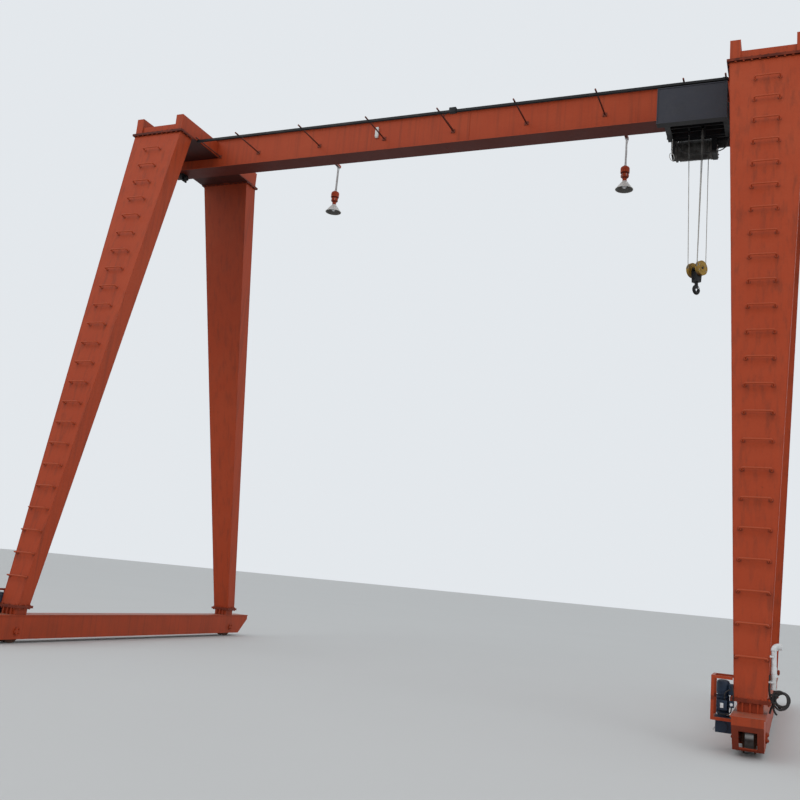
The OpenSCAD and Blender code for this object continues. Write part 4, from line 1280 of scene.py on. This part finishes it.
@dataclass
class Fasteners(SubAssembly):
    """Bolts and nuts of the legs' flanges, the axle plates and the track's arms.

    Attributes:
        head_rows: bolts along and across a flange at a leg's head, from its middle.
        foot_rows: the same at a leg's foot.
        no_nut: from and to where a saddle's wall leaves no room for a nut.
        axle_ring: radius of the bolt circle round an axle.
        axle_face: outer face of an axle plate from the wheel's middle.
        axle_angles: places of the bolts on that circle.
        arm_inset: place of the last arm from the end of the row.
        arm_plate: thickness of an arm's foot plate.
        arm_bolt: half the side of the square of bolts on it.
    """

    head_rows: tuple[tuple[float, ...], ...] = (tuple(0.090 * k for k in range(-4, 5)), (-0.100, 0.0, 0.100))
    foot_rows: tuple[tuple[float, ...], ...] = ((-0.100, 0.0, 0.100), (-0.085, 0.0, 0.085))
    no_nut: tuple[float, float] = (0.29, 0.44)
    axle_ring: float = 0.036
    axle_face: float = 0.144
    axle_angles: tuple[float, ...] = (0.8, 2.37, 3.94, 5.51)
    arm_inset: float = 0.030
    arm_plate: float = 0.006
    arm_bolt: float = 0.021

    def flange(self, width: float, depth: float, outer: float, rows: tuple) -> list[tuple[float, float]]:
        """Bolt places round a flange, seen from above.

        Args:
            width: the leg's width inside the flange.
            depth: its depth.
            outer: place of its outer face along the rails.
            rows: places on the long and on the short sides.

        Returns:
            Offsets along the girder and places along the rails.
        """
        x_edge, y_edge, middle = (width + LEG.lip) / 2, (depth + LEG.lip) / 2, outer - depth / 2
        places = [(x, middle + side * y_edge) for side in (-1, 1) for x in rows[0]]
        return places + [(side * x_edge, middle + y) for side in (-1, 1) for y in rows[1]]

    def build(self) -> None:
        """Set the bolts of the legs, the axles and the arms."""
        foot = self.flange(LEG.foot_w, LEG.foot_d, LEG.foot_y, self.foot_rows)
        head = self.flange(LEG.top_w, LEG.top_d, LEG.top_y, self.head_rows)
        nuts = [(x, y) for x, y in head if not self.no_nut[0] <= abs(x) <= self.no_nut[1]]
        rows = ((foot, LEG.foot_z, UP), (foot, LEG.foot_z - LEG.joint, DOWN),
                (head, LEG.top_z, DOWN), (nuts, LEG.top_z + LEG.joint, UP))
        wheel = centre("wheel_right_far")
        bolts = []
        for plane, end in ((plane, end) for plane in (-LEG.plane, LEG.plane) for end in (-1, 1)):
            bolts += [((plane + x, end * y, z), way) for row, z, way in rows for x, y in row]
            for face, a in ((face, a) for face in (-1, 1) for a in self.axle_angles):
                y, z = end * wheel.y + self.axle_ring * math.cos(a), wheel.z + self.axle_ring * math.sin(a)
                bolts.append(((plane + face * self.axle_face, y, z), RIGHT * face))
        tree = bolt_tree("flange_bolt", radius=0.0125, height=0.010, washer=0.0150)
        self.keep("flange_bolts", tree, "orange_paint", guide=guide_points(bolts))
        end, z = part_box("festoon_arms")[1], centre("festoon_arms").z
        last, square = end.x - self.arm_inset, (-self.arm_bolt, self.arm_bolt)
        arms = [((x + dx, end.y - self.arm_plate, z + dz), NEAR) for x in (-last, *ARM_PLACES, last)
                for dx in square for dz in square]
        tree = bolt_tree("arm_bolt", radius=0.0065, height=0.006, washer=0.0078)
        self.keep("arm_bolts", tree, "orange_paint", guide=guide_points(arms), slot="rusty_paint")


@dataclass
class WeldSeams(SubAssembly):
    """Weld beads along the legs' corners and the girder's seams.

    Attributes:
        inset: how far a leg's bead stands inside its corner.
        web: face of the girder's web from its middle.
        flange: from the girder's lowest and highest face to the seams.
        butt: place of the upright seam where two lengths of the girder meet.
        stop: how far short of the girder's ends the seams stop.
    """

    inset: float = 0.001
    web: float = 0.1055
    flange: float = 0.0125
    butt: float = 0.356
    stop: float = 0.020

    def build(self) -> None:
        """Lay all beads."""
        places = [(plane, end, side) for plane in (-LEG.plane, LEG.plane) for end in (-1, 1) for side in (-1, 1)]
        faces = ((LEG.foot_y, LEG.top_y), (LEG.foot_y - LEG.foot_d, LEG.top_y - LEG.top_d))
        foot_x, top_x = LEG.foot_w / 2 - self.inset, LEG.top_w / 2 - self.inset
        foot_z, top_z = LEG.foot_z + 2 * self.inset, LEG.top_z - 2 * self.inset
        lines = [[Vector((plane + side * foot_x, end * foot_y, foot_z)),
                  Vector((plane + side * top_x, end * top_y, top_z))]
                 for plane, end, side in places for foot_y, top_y in faces]
        tree = bead_tree("corner_weld", radius=0.0035, pitch=0.045)
        self.keep("leg_welds", tree, "orange_paint", guide=guide_lines(lines))
        low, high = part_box("main_girder")
        bottom, top, tip = low.z + self.flange, high.z - self.flange, high.x - self.stop
        seams = []
        for y in (-self.web, self.web):
            seams += [[Vector((-tip, y, z)), Vector((tip, y, z))] for z in (bottom, top)]
            seams.append([Vector((self.butt, y, bottom + 0.0035)), Vector((self.butt, y, top - 0.0035))])
        tree = bead_tree("girder_weld", radius=0.0045, pitch=0.030)
        self.keep("girder_welds", tree, "orange_paint", guide=guide_lines(seams))


@dataclass
class RopeTackle(SubAssembly):
    """Stranded falls between the trolley and the hook block, and the rope on drum and sheaves.

    Attributes:
        rope: the rope's radius.
        strands: strands laid around the core.
        strand: radius of a strand.
        spread: from the rope's middle to a strand's.
        lay: length of one turn of a strand.
        step: distance between two rings of a strand.
        coil: radius at which rope lies in a groove of the drum.
        sheave: radius at which it lies in the top sheave.
        lead: where the falls leave the top sheave, from its middle.
        dead_end: place of the rope's fixed end, and of the fall from the drum, from the top sheave.
    """

    rope: float = 0.0055
    strands: int = 6
    strand: float = 0.00195
    spread: float = 0.0035
    lay: float = 0.075
    step: float = 0.011
    coil: float = 0.1368
    sheave: float = 0.0755
    lead: float = 0.0758
    dead_end: tuple[float, float] = (-0.171, 0.050)

    def falls(self, top: Vector, drum: Vector) -> Solid:
        """Twist the four falls.

        Args:
            top: middle of the top sheave.
            drum: middle of the drum.

        Returns:
            Their strands.
        """
        ends = {(-1, -1): (top.x + self.dead_end[0], 0.0), (1, -1): (top.x, -self.lead),
                (-1, 1): (top.x, self.lead), (1, 1): (top.x + self.dead_end[1], drum.y - self.coil)}
        out = Solid()
        for (side, face), end in ends.items():
            foot = BLOCK.pin + BLOCK.axis * BLOCK.half_gap * side + BLOCK.across * BLOCK.groove * face
            way = Vector((*end, drum.z)) - foot
            first = way.cross(RIGHT).normalized()
            second = way.normalized().cross(first)
            steps = int(way.length / self.step)
            for start in (math.tau * strand / self.strands for strand in range(self.strands)):
                path = []
                for k in range(steps + 1):
                    angle = start + math.tau * k / steps * way.length / self.lay
                    around = first * math.cos(angle) + second * math.sin(angle)
                    path.append(foot + way * (k / steps) + around * self.spread)
                out.tube(path, self.strand, 4)
        return out

    def build(self) -> None:
        """Hang the falls, wind the drum and lay rope in the sheaves."""
        top, drum = centre("top_sheave"), centre("rope_drum")
        falls = self.falls(top, drum).close("stranded_falls", self.paint["wire_rope"], 80.0)
        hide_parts("rope_falls")
        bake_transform(falls)
        log.info("stranded_falls: %d faces", len(falls.data.polygons))
        coil = coil_tree("drum_coil", self.rope, self.coil, pitch=0.016, turns=25)
        start = Vector((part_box("rope_drum")[0].x + 0.039, drum.y, drum.z))
        self.keep("drum_rope", coil, "drum_rope", Body.TROLLEY, guide_points([(start, RIGHT)]))
        rope = Solid()
        rope.tube(arc(top, FAR, UP, self.sheave, 24, math.pi), self.rope)
        self.keep("top_sheave_rope", rope, "wire_rope", Body.TROLLEY)
        rope = Solid()
        for side in (-1, 1):
            middle = BLOCK.pin + BLOCK.axis * BLOCK.half_gap * side
            rope.tube(arc(middle, BLOCK.across, DOWN, BLOCK.groove, 24, math.pi), self.rope)
        self.keep("block_sheave_rope", rope, "wire_rope", Body.BLOCK)


@dataclass
class Hoist(SubAssembly):
    """Details of the hoist: motor fins, terminal box, end cover, bolts and a loose cable.

    Attributes:
        fins_at: middle of the fins from the motor's drum side.
        box_at: middle of the terminal box from there.
        drum_bolts: radius of the bolt circle on the drum's end.
        frame_bolts: places of the bolts on the trolley's frame.
    """

    fins_at: float = 0.058
    box_at: float = 0.078
    drum_bolts: float = 0.075
    frame_bolts: tuple[tuple[float, ...], ...] = ((3.11, 3.40, 3.57, 3.86), (0.2025,), (7.515, 7.36))

    COVER = ((-0.125, -0.080), (-0.125, 0.155), (-0.065, -0.105), (0.065, -0.105), (0.105, -0.045), (0.115, 0.055),
             (0.103, 0.160), (-0.107, -0.015))
    GLAND = ((0.0, 0.0), (0.016, 0.0), (0.016, 0.012), (0.012, 0.016), (0.012, 0.030), (0.0, 0.030))
    CABLE = ((0.210, 0.0, 0.205), (0.240, 0.0, 0.195), (0.240, -0.095, 0.135), (0.215, -0.163, 0.055),
             (0.155, -0.163, -0.095), (-0.045, -0.163, -0.135), (-0.345, -0.163, -0.105), (-0.465, -0.163, 0.055))

    def build(self) -> None:
        """Add the details to the trolley."""
        axis, (low, high) = centre("hoist_motor"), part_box("hoist_motor")
        fins = fin_tree("hoist_fins", inner=0.080, length=0.096, thick=0.0032, count=44)
        place = Vector((low.x + self.fins_at, axis.y, axis.z))
        self.keep("hoist_motor_fins", fins, "black_paint", Body.TROLLEY, guide_points([(place, RIGHT)]))
        details = Solid((low.x + self.box_at, axis.y, axis.z))
        details.box((-0.050, -0.055, 0.084), (0.050, 0.055, 0.138), 0.006)
        details.box((-0.054, -0.059, 0.134), (0.054, 0.059, 0.144), 0.003)
        details.lathe(self.GLAND, Matrix.Translation((0.054, 0.0, 0.110)) @ LAID, 16)
        details.at = Vector((high.x - 0.0005, axis.y, axis.z))
        for k in range(5):
            details.lathe(ring_profile(0.018 + k * 0.013, 0.003, 0.0015), LAID)
        self.keep("hoist_motor_details", details, "black_paint", Body.TROLLEY)
        drum, (start, end) = centre("rope_drum"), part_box("rope_drum")
        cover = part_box("hoist_gearbox")[1].x + 0.0005
        bolts = [((cover, drum.y + y, drum.z + z), RIGHT) for y, z in self.COVER]
        ring = arc(Vector((start.x - 0.050, drum.y, drum.z)), FAR, UP, self.drum_bolts, 6)[:-1]
        across, y, up = self.frame_bolts
        bolts += [(spot, LEFT) for spot in ring] + [((x, *y, z), FAR) for x in across for z in up]
        tree = bolt_tree("hoist_bolt", radius=0.0105, height=0.008, washer=0.0125)
        self.keep("hoist_bolts", tree, "bare_steel", Body.TROLLEY, guide_points(bolts))
        cable = Solid((end.x, drum.y, drum.z))
        cable.cable(self.CABLE, 0.007)
        self.keep("hoist_cable", cable, "cable_rubber", Body.TROLLEY)


@dataclass
class HookBlock(SubAssembly):
    """Rims and bolts of the sheave guards, and the hook's latch.

    Attributes:
        guard: half the thickness of a guard, with its rim.
        bolt_face: the guards' outer faces from the block's middle.
        bolt_ring: radius of the bolt circle on a guard.
        bolt_angles: places of the bolts on it.
        latch_half: from the middle of the latch to one of its plates.
        latch_plate: half the thickness of a plate.
        latch_turn: angle of the hook's plane.
        latch_rise: height of the latch's origin above the hook's lowest point.
    """

    guard: float = 0.0196
    bolt_face: float = 0.088
    bolt_ring: float = 0.070
    bolt_angles: tuple[float, ...] = (0.5, 2.64, 3.64, 5.78)
    latch_half: float = 0.009
    latch_plate: float = 0.0015
    latch_turn: float = math.radians(59.0)
    latch_rise: float = 0.065

    TONGUE = ((0.012, 0.040), (0.036, 0.054), (0.057, 0.026), (0.051, 0.020), (0.033, 0.041), (0.014, 0.030))

    def build(self) -> None:
        """Add the details to the block and the hook."""
        turn = Matrix.Rotation(-BLOCK.turn, 4, "Z")
        rims = Solid(BLOCK.pin)
        bolts = []
        for side in (-1, 1):
            for face in (-1, 1):
                place = turn @ LAID @ Matrix.Translation((0.0, 0.0, side * BLOCK.half_gap + face * self.guard))
                rims.lathe(ring_profile(0.0865, 0.008, 0.003, -0.0015), place, 56)
                cap = 0.0022 * face
                rims.lathe(((0.030, -0.001), (0.052, -0.001), (0.050, cap), (0.032, cap)), place, 40)
            middle = BLOCK.pin + BLOCK.axis * self.bolt_face * side
            bolts += [(middle + (BLOCK.across * math.cos(a) + UP * math.sin(a)) * self.bolt_ring, BLOCK.axis * side)
                      for a in self.bolt_angles]
        self.keep("guard_rims", rims, "guard_yellow", Body.BLOCK)
        tree = bolt_tree("guard_bolt", radius=0.006, height=0.005, washer=0.0075)
        self.keep("guard_bolts", tree, "bare_steel", Body.BLOCK, guide_points(bolts))
        latch = Solid()
        root = Matrix.Translation((BLOCK.pin.x, 0.0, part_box("hook")[0].z + self.latch_rise))
        swing = root @ Matrix.Rotation(self.latch_turn, 4, "Z")
        for side in (-1, 1):
            faces = [side * self.latch_half + way * self.latch_plate for way in (-1, 1)]
            low, high = ([latch.bm.verts.new(swing @ Vector((x, y, z))) for x, z in self.TONGUE] for y in faces)
            latch.bm.faces.new(low)
            latch.bm.faces.new(high[::-1])
            for k in range(len(low)):
                latch.bm.faces.new((low[k - 1], low[k], high[k], high[k - 1]))
        self.keep("hook_latch", latch, "black_paint", Body.HOOK)


@dataclass
class TravelDrives(SubAssembly):
    """Fins, cowls, boxes, caps, cables and bolts of the two travel drives.

    Attributes:
        beside: from a ground beam's left face to its motor's axis.
        height: height of the middle of a motor's fins.
        flange_bolts: places of the bolts on a motor's flange, from that middle.
        cover_bolts: places of the bolts on a gearbox's cover.
    """

    beside: float = 0.092
    height: float = 0.395
    flange_bolts: tuple[tuple[float, ...], ...] = ((-0.0448, 0.0448), (-0.0448, 0.0448), (-0.096,))
    cover_bolts: tuple[tuple[float, ...], ...] = ((-0.068,), (-0.060, 0.060), (-0.227, -0.127))

    COWL = ((0.0, 0.207), (0.034, 0.207), (0.050, 0.199), (0.0585, 0.180), (0.0585, 0.102), (0.0553, 0.102),
            (0.0553, 0.165), (0.0, 0.165))
    KNOB = ((0.0, 0.0), (0.014, 0.0), (0.014, 0.010), (0.010, 0.016), (0.0, 0.016))
    CABLES = (
        ((0.020, -0.080, 0.035), (0.022, -0.090, 0.095), (0.050, -0.078, 0.125), (0.068, -0.060, 0.125)),
        ((-0.020, -0.080, -0.043), (-0.022, -0.096, -0.077), (0.024, -0.100, -0.083), (0.070, -0.084, -0.065),
         (0.078, -0.076, -0.021)),
        ((0.072, -0.062, 0.161), (0.082, -0.092, 0.161), (0.093, -0.100, 0.105), (0.090, -0.086, 0.033)))

    def build(self) -> None:
        """Add the details to both drives."""
        beams = (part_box("ground_beam_" + side)[0].x for side in ("left", "right"))
        motors = [Vector((x - self.beside, centre("wheel_right_near").y, self.height)) for x in beams]
        fins = fin_tree("drive_fins", inner=0.046, length=0.150, thick=0.003, count=30)
        self.keep("drive_motor_fins", fins, "drive_paint", guide=guide_points([(motor, UP) for motor in motors]))
        details, wires, pale = Solid(), Solid(), Solid()
        bolts = []
        for motor in motors:
            details.at = wires.at = pale.at = motor
            details.box((-0.040, -0.110, -0.045), (0.040, -0.052, 0.035), 0.005)
            details.box((-0.043, -0.114, -0.048), (0.043, -0.108, 0.038), 0.002)
            details.box((0.050, -0.062, 0.083), (0.088, 0.030, 0.177), 0.005)
            details.box((0.056, -0.092, -0.023), (0.100, -0.056, 0.035), 0.004)
            details.lathe(self.COWL, segments=40)
            for k in range(4):
                details.lathe(ring_profile(0.008 + k * 0.007, 0.0025, 0.0015, 0.2068))
            pale.box((-0.016, -0.1155, -0.029), (0.012, -0.1138, 0.013), 0.0006)
            knob = Matrix.Translation((0.078, -0.092, 0.005)) @ Matrix.Rotation(math.pi / 2, 4, "X")
            pale.lathe(self.KNOB, knob, 20)
            for route in self.CABLES:
                wires.cable(route, 0.0055)
            for (across, along, up), way in ((self.flange_bolts, UP), (self.cover_bolts, LEFT)):
                bolts += [(motor + Vector((x, y, z)), way) for x in across for y in along for z in up]
        self.keep("drive_motor_details", details, "drive_paint")
        self.keep("drive_cables", wires, "cable_rubber")
        self.keep("drive_caps", pale, "white_plastic")
        tree = bolt_tree("drive_bolt", radius=0.0075, height=0.006, washer=0.009)
        self.keep("drive_bolts", tree, "bare_steel", guide=guide_points(bolts))


@dataclass
class Floodlights(SubAssembly):
    """Bulbs, dark linings that paint the shade inside the reflectors, rims, ribs, clamps and cords of the two hanging
    lamps; heights are above a lamp's rim.

    Attributes:
        ribs: cooling ribs round the neck of a housing.
        rib_ring: radius of the circle of ribs.
        rib: half the thickness of a rib.
        cord: radius of the cord.
    """

    ribs: int = 6
    rib_ring: float = 0.058
    rib: float = 0.002
    cord: float = 0.0040

    BULB = ((0.0, 0.020), (0.018, 0.023), (0.031, 0.038), (0.034, 0.055), (0.027, 0.078), (0.017, 0.095),
            (0.017, 0.122), (0.0, 0.122))
    LINING = ((0.1230, 0.0015), (0.0780, 0.0650), (0.0275, 0.1255), (0.0, 0.1255), (0.0, 0.1245),
              (0.0270, 0.1245), (0.0770, 0.0645), (0.1220, 0.0015))
    RIM = ((0.1235, 0.0005), (0.1275, 0.0005), (0.1290, 0.0035), (0.1275, 0.0065), (0.1235, 0.0065))
    CLAMP = ((0.0121, 0.355), (0.022, 0.355), (0.022, 0.372), (0.016, 0.382), (0.0121, 0.382))
    ROUTE = ((0.012, 0.014, 0.362), (0.009, 0.016, 0.460), (0.011, 0.014, 0.590), (0.009, 0.016, 0.710),
             (0.026, -0.010, 0.786), (0.026, -0.150, 0.790), (0.026, -0.550, 0.791), (0.026, -0.835, 0.796))

    def build(self) -> None:
        """Dress both lamps."""
        shapes = glass, shade_lining, rims, clamps, cords = [Solid() for _ in range(5)]
        low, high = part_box("lamp_hangers")
        half = (high.y - low.y) / 2
        for x in (low.x + half, high.x - half):
            for shape in shapes:
                shape.at = Vector((x, low.y + half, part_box("lamp_reflectors")[0].z))
            glass.lathe(self.BULB, segments=24)
            shade_lining.lathe(self.LINING, segments=48)
            rims.lathe(self.RIM, segments=56)
            for spot in arc(Vector(), RIGHT, FAR, self.rib_ring, self.ribs)[:-1]:
                rims.box((spot.x - self.rib, spot.y - self.rib, 0.192), (spot.x + self.rib, spot.y + self.rib, 0.228))
            clamps.lathe(self.CLAMP, segments=24)
            clamps.box((-0.022, -0.022, 0.788), (0.022, 0.022, 0.7955), 0.002)
            cords.cable(self.ROUTE, self.cord)
        self.keep("lamp_bulbs", glass, "lamp_glass")
        # painted shade: a thin dark sheet just inside each white reflector
        self.keep("reflector_linings", shade_lining, "reflector_inside")
        self.keep("reflector_rims", rims, "white_paint")
        self.keep("lamp_clamps", clamps, "galvanised")
        self.keep("lamp_cables", cords, "lamp_cord")


@dataclass
class PowerTrack(SubAssembly):
    """Feed box, end carriers and cable of the track, and the small white box on the near web.

    Attributes:
        feed_x: place of the feed box along the girder.
        carrier_x: places of the carriers at the track's ends.
        box_at: middle of the white box's back.
        cable_at: where the cable reaches the girder, above the middle of an arm's foot.
    """

    feed_x: float = 0.320
    carrier_x: tuple[float, float] = (-3.860, 3.860)
    box_at: Point = (-1.1025, -0.104, 7.725)
    cable_at: tuple[float, float] = (-0.112, 0.020)

    ROUTE = ((0.180, -0.578, -0.004), (0.160, -0.508, 0.015), (0.050, -0.448, 0.008), (0.0, -0.388, 0.0),
             (0.0, -0.188, 0.0), (0.0, 0.0, 0.0))

    def build(self) -> None:
        """Add the pieces to the girder."""
        track = centre("festoon_track")
        feed = Solid(track + RIGHT * self.feed_x)
        feed.box((-0.050, -0.0305, -0.027), (0.050, 0.0305, 0.047), 0.006)
        for x in self.carrier_x:
            feed.at = track + RIGHT * x
            feed.box((-0.020, -0.0195, -0.020), (0.020, 0.0195, 0.020), 0.003)
        self.keep("track_feed", feed, "black_paint")
        case = Solid(self.box_at)
        case.box((-0.0225, -0.032, -0.085), (0.0225, 0.0, 0.085), 0.006)
        case.box((-0.0255, -0.036, -0.070), (0.0255, -0.028, 0.070), 0.003)
        self.keep("web_junction_box", case, "white_paint")
        y, rise = self.cable_at
        lead = Solid((ARM_PLACES[len(ARM_PLACES) // 2], y, centre("festoon_arms").z + rise))
        lead.cable(self.ROUTE, 0.006)
        self.keep("web_cable", lead, "cable_rubber")


@dataclass
class Conduit(SubAssembly):
    """Sleeves of the upright pipe and the slack of the cables at its foot; heights are above that foot.

    Attributes:
        bore: inner radius of a sleeve, just outside the pipe.
        axis: from the left side of the pipe and its clips to its axis.
        cable: radius of the cables.
        ties: heights of the cable ties, and their reach past the cables.
    """

    bore: float = 0.0232
    axis: float = 0.0434
    cable: float = 0.009
    ties: tuple[tuple[float, float], ...] = ((-0.105, 0.0), (-0.040, 0.008))

    SLACK = ((-0.034, -0.020, 0.130), (-0.034, -0.022, 0.0), (-0.014, -0.030, -0.090), (0.050, -0.036, -0.160),
             (0.110, -0.040, -0.120), (0.112, -0.044, -0.040), (0.050, -0.044, 0.0), (-0.004, -0.036, -0.040),
             (0.004, -0.024, -0.160), (0.030, -0.012, -0.208))
    TAIL = ((0.008, 0.014, 0.002), (0.010, 0.012, -0.080), (0.070, 0.020, -0.160), (0.128, 0.030, -0.110),
            (0.100, 0.030, -0.030), (0.040, 0.026, -0.040), (-0.010, 0.020, -0.140), (-0.030, 0.010, -0.208))

    def build(self) -> None:
        """Add the pieces to the pipe."""
        low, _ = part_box("conduit_pipe")
        foot = (low.x + self.axis, -LEG.foot_y + LEG.foot_d / 2, low.z)
        sleeves, slack, bore = Solid(foot), Solid(foot), self.bore
        sleeves.lathe(((bore, 0.140), (0.0265, 0.141), (0.0265, 0.200), (bore, 0.201)))
        sleeves.lathe(((bore, 0.0), (0.0255, 0.0), (0.0255, 0.020), (bore, 0.021)))
        self.keep("pipe_sleeves", sleeves, "white_plastic")
        for route in (self.SLACK, self.TAIL):
            slack.cable(route, self.cable)
        for z, reach in self.ties:
            slack.box((-0.022, -0.046, z - 0.007), (0.026 + reach, 0.004, z + 0.007), 0.003)
        self.keep("cable_slack", slack, "cable_rubber")


# studio


@dataclass
class Studio:
    """Pale floor, soft sky and the photo's camera.

    Attributes:
        eye: where the camera stands.
        right: its direction to the right.
        up: its direction upwards.
        lens: focal length in millimetres.
        sensor: width of its sensor in millimetres.
        sky: colour of the sky.
        strength: strength of the sky.
        aim: the point that the lights face.
        lights: name, place, power and side of each light.
    """

    eye: Point = (4.741, -11.711, 1.234)
    right: Point = (0.9193, 0.3829, 0.0911)
    up: Point = (-0.0103, -0.2079, 0.9781)
    lens: float = 41.95
    sensor: float = 36.0
    sky: RGB = (0.92, 0.96, 1.0)
    strength: float = 0.84
    aim: Point = (0.0, 0.0, 4.0)
    lights: tuple[tuple[str, Point, float, float], ...] = (
        ("key", (-9.0, -14.0, 16.0), 500.0, 10.0), ("fill", (16.0, -10.0, 9.0), 300.0, 9.0))

    def floor(self) -> None:
        """Lay a large pale floor just under the wheels."""
        floor = Solid()
        bmesh.ops.create_grid(floor.bm, x_segments=2, y_segments=2, size=120.0, matrix=Matrix.Translation(DOWN * 0.001))
        g = ShaderGraph("studio_floor")
        tone = g.noise(0.35, 3.0, 0.5)
        material = g.finish(g.blend(tone * 0.35, (0.56, 0.56, 0.55), (0.50, 0.50, 0.49)), 0.8)
        floor.close("floor", material, None)

    def light(self) -> None:
        """Set an even bright sky with soft lights."""
        world = bpy.data.worlds.new("overcast")
        bpy.context.scene.world = world
        world.use_nodes = True
        back = world.node_tree.nodes["Background"]
        back.inputs["Color"].default_value = (*self.sky, 1.0)
        back.inputs["Strength"].default_value = self.strength
        bpy.context.scene.view_settings.view_transform = "Standard"
        for name, place, energy, size in self.lights:
            lamp = bpy.data.lights.new(name, "AREA")
            lamp.energy, lamp.size = energy, size
            rig = link(bpy.data.objects.new(name, lamp))
            rig.location = place
            rig.rotation_euler = (Vector(self.aim) - Vector(place)).to_track_quat("-Z", "Y").to_euler()

    def camera(self) -> None:
        """Stand where the photo was taken."""
        data = bpy.data.cameras.new("photo_view")
        data.lens, data.sensor_width = self.lens, self.sensor
        data.clip_end = 500.0
        rig = link(bpy.data.objects.new("photo_view", data))
        right, up = Vector(self.right).normalized(), Vector(self.up).normalized()
        turned = Matrix((right, up, right.cross(up).normalized())).transposed().to_4x4()
        rig.matrix_world = Matrix.Translation(self.eye) @ turned
        bpy.context.scene.camera = rig


def main() -> None:
    """Dress the frame, add the pieces and set the stage."""
    palette = Palette()
    palette.build()
    palette.dress()
    for group in (Ladders, Fasteners, WeldSeams, RopeTackle, Hoist, HookBlock, TravelDrives, Floodlights,
                  PowerTrack, Conduit):
        log.info("building %s", group.__name__)
        group(palette.made).build()
    studio = Studio()
    studio.floor()
    studio.light()
    studio.camera()


if __name__ == "__main__":
    main()
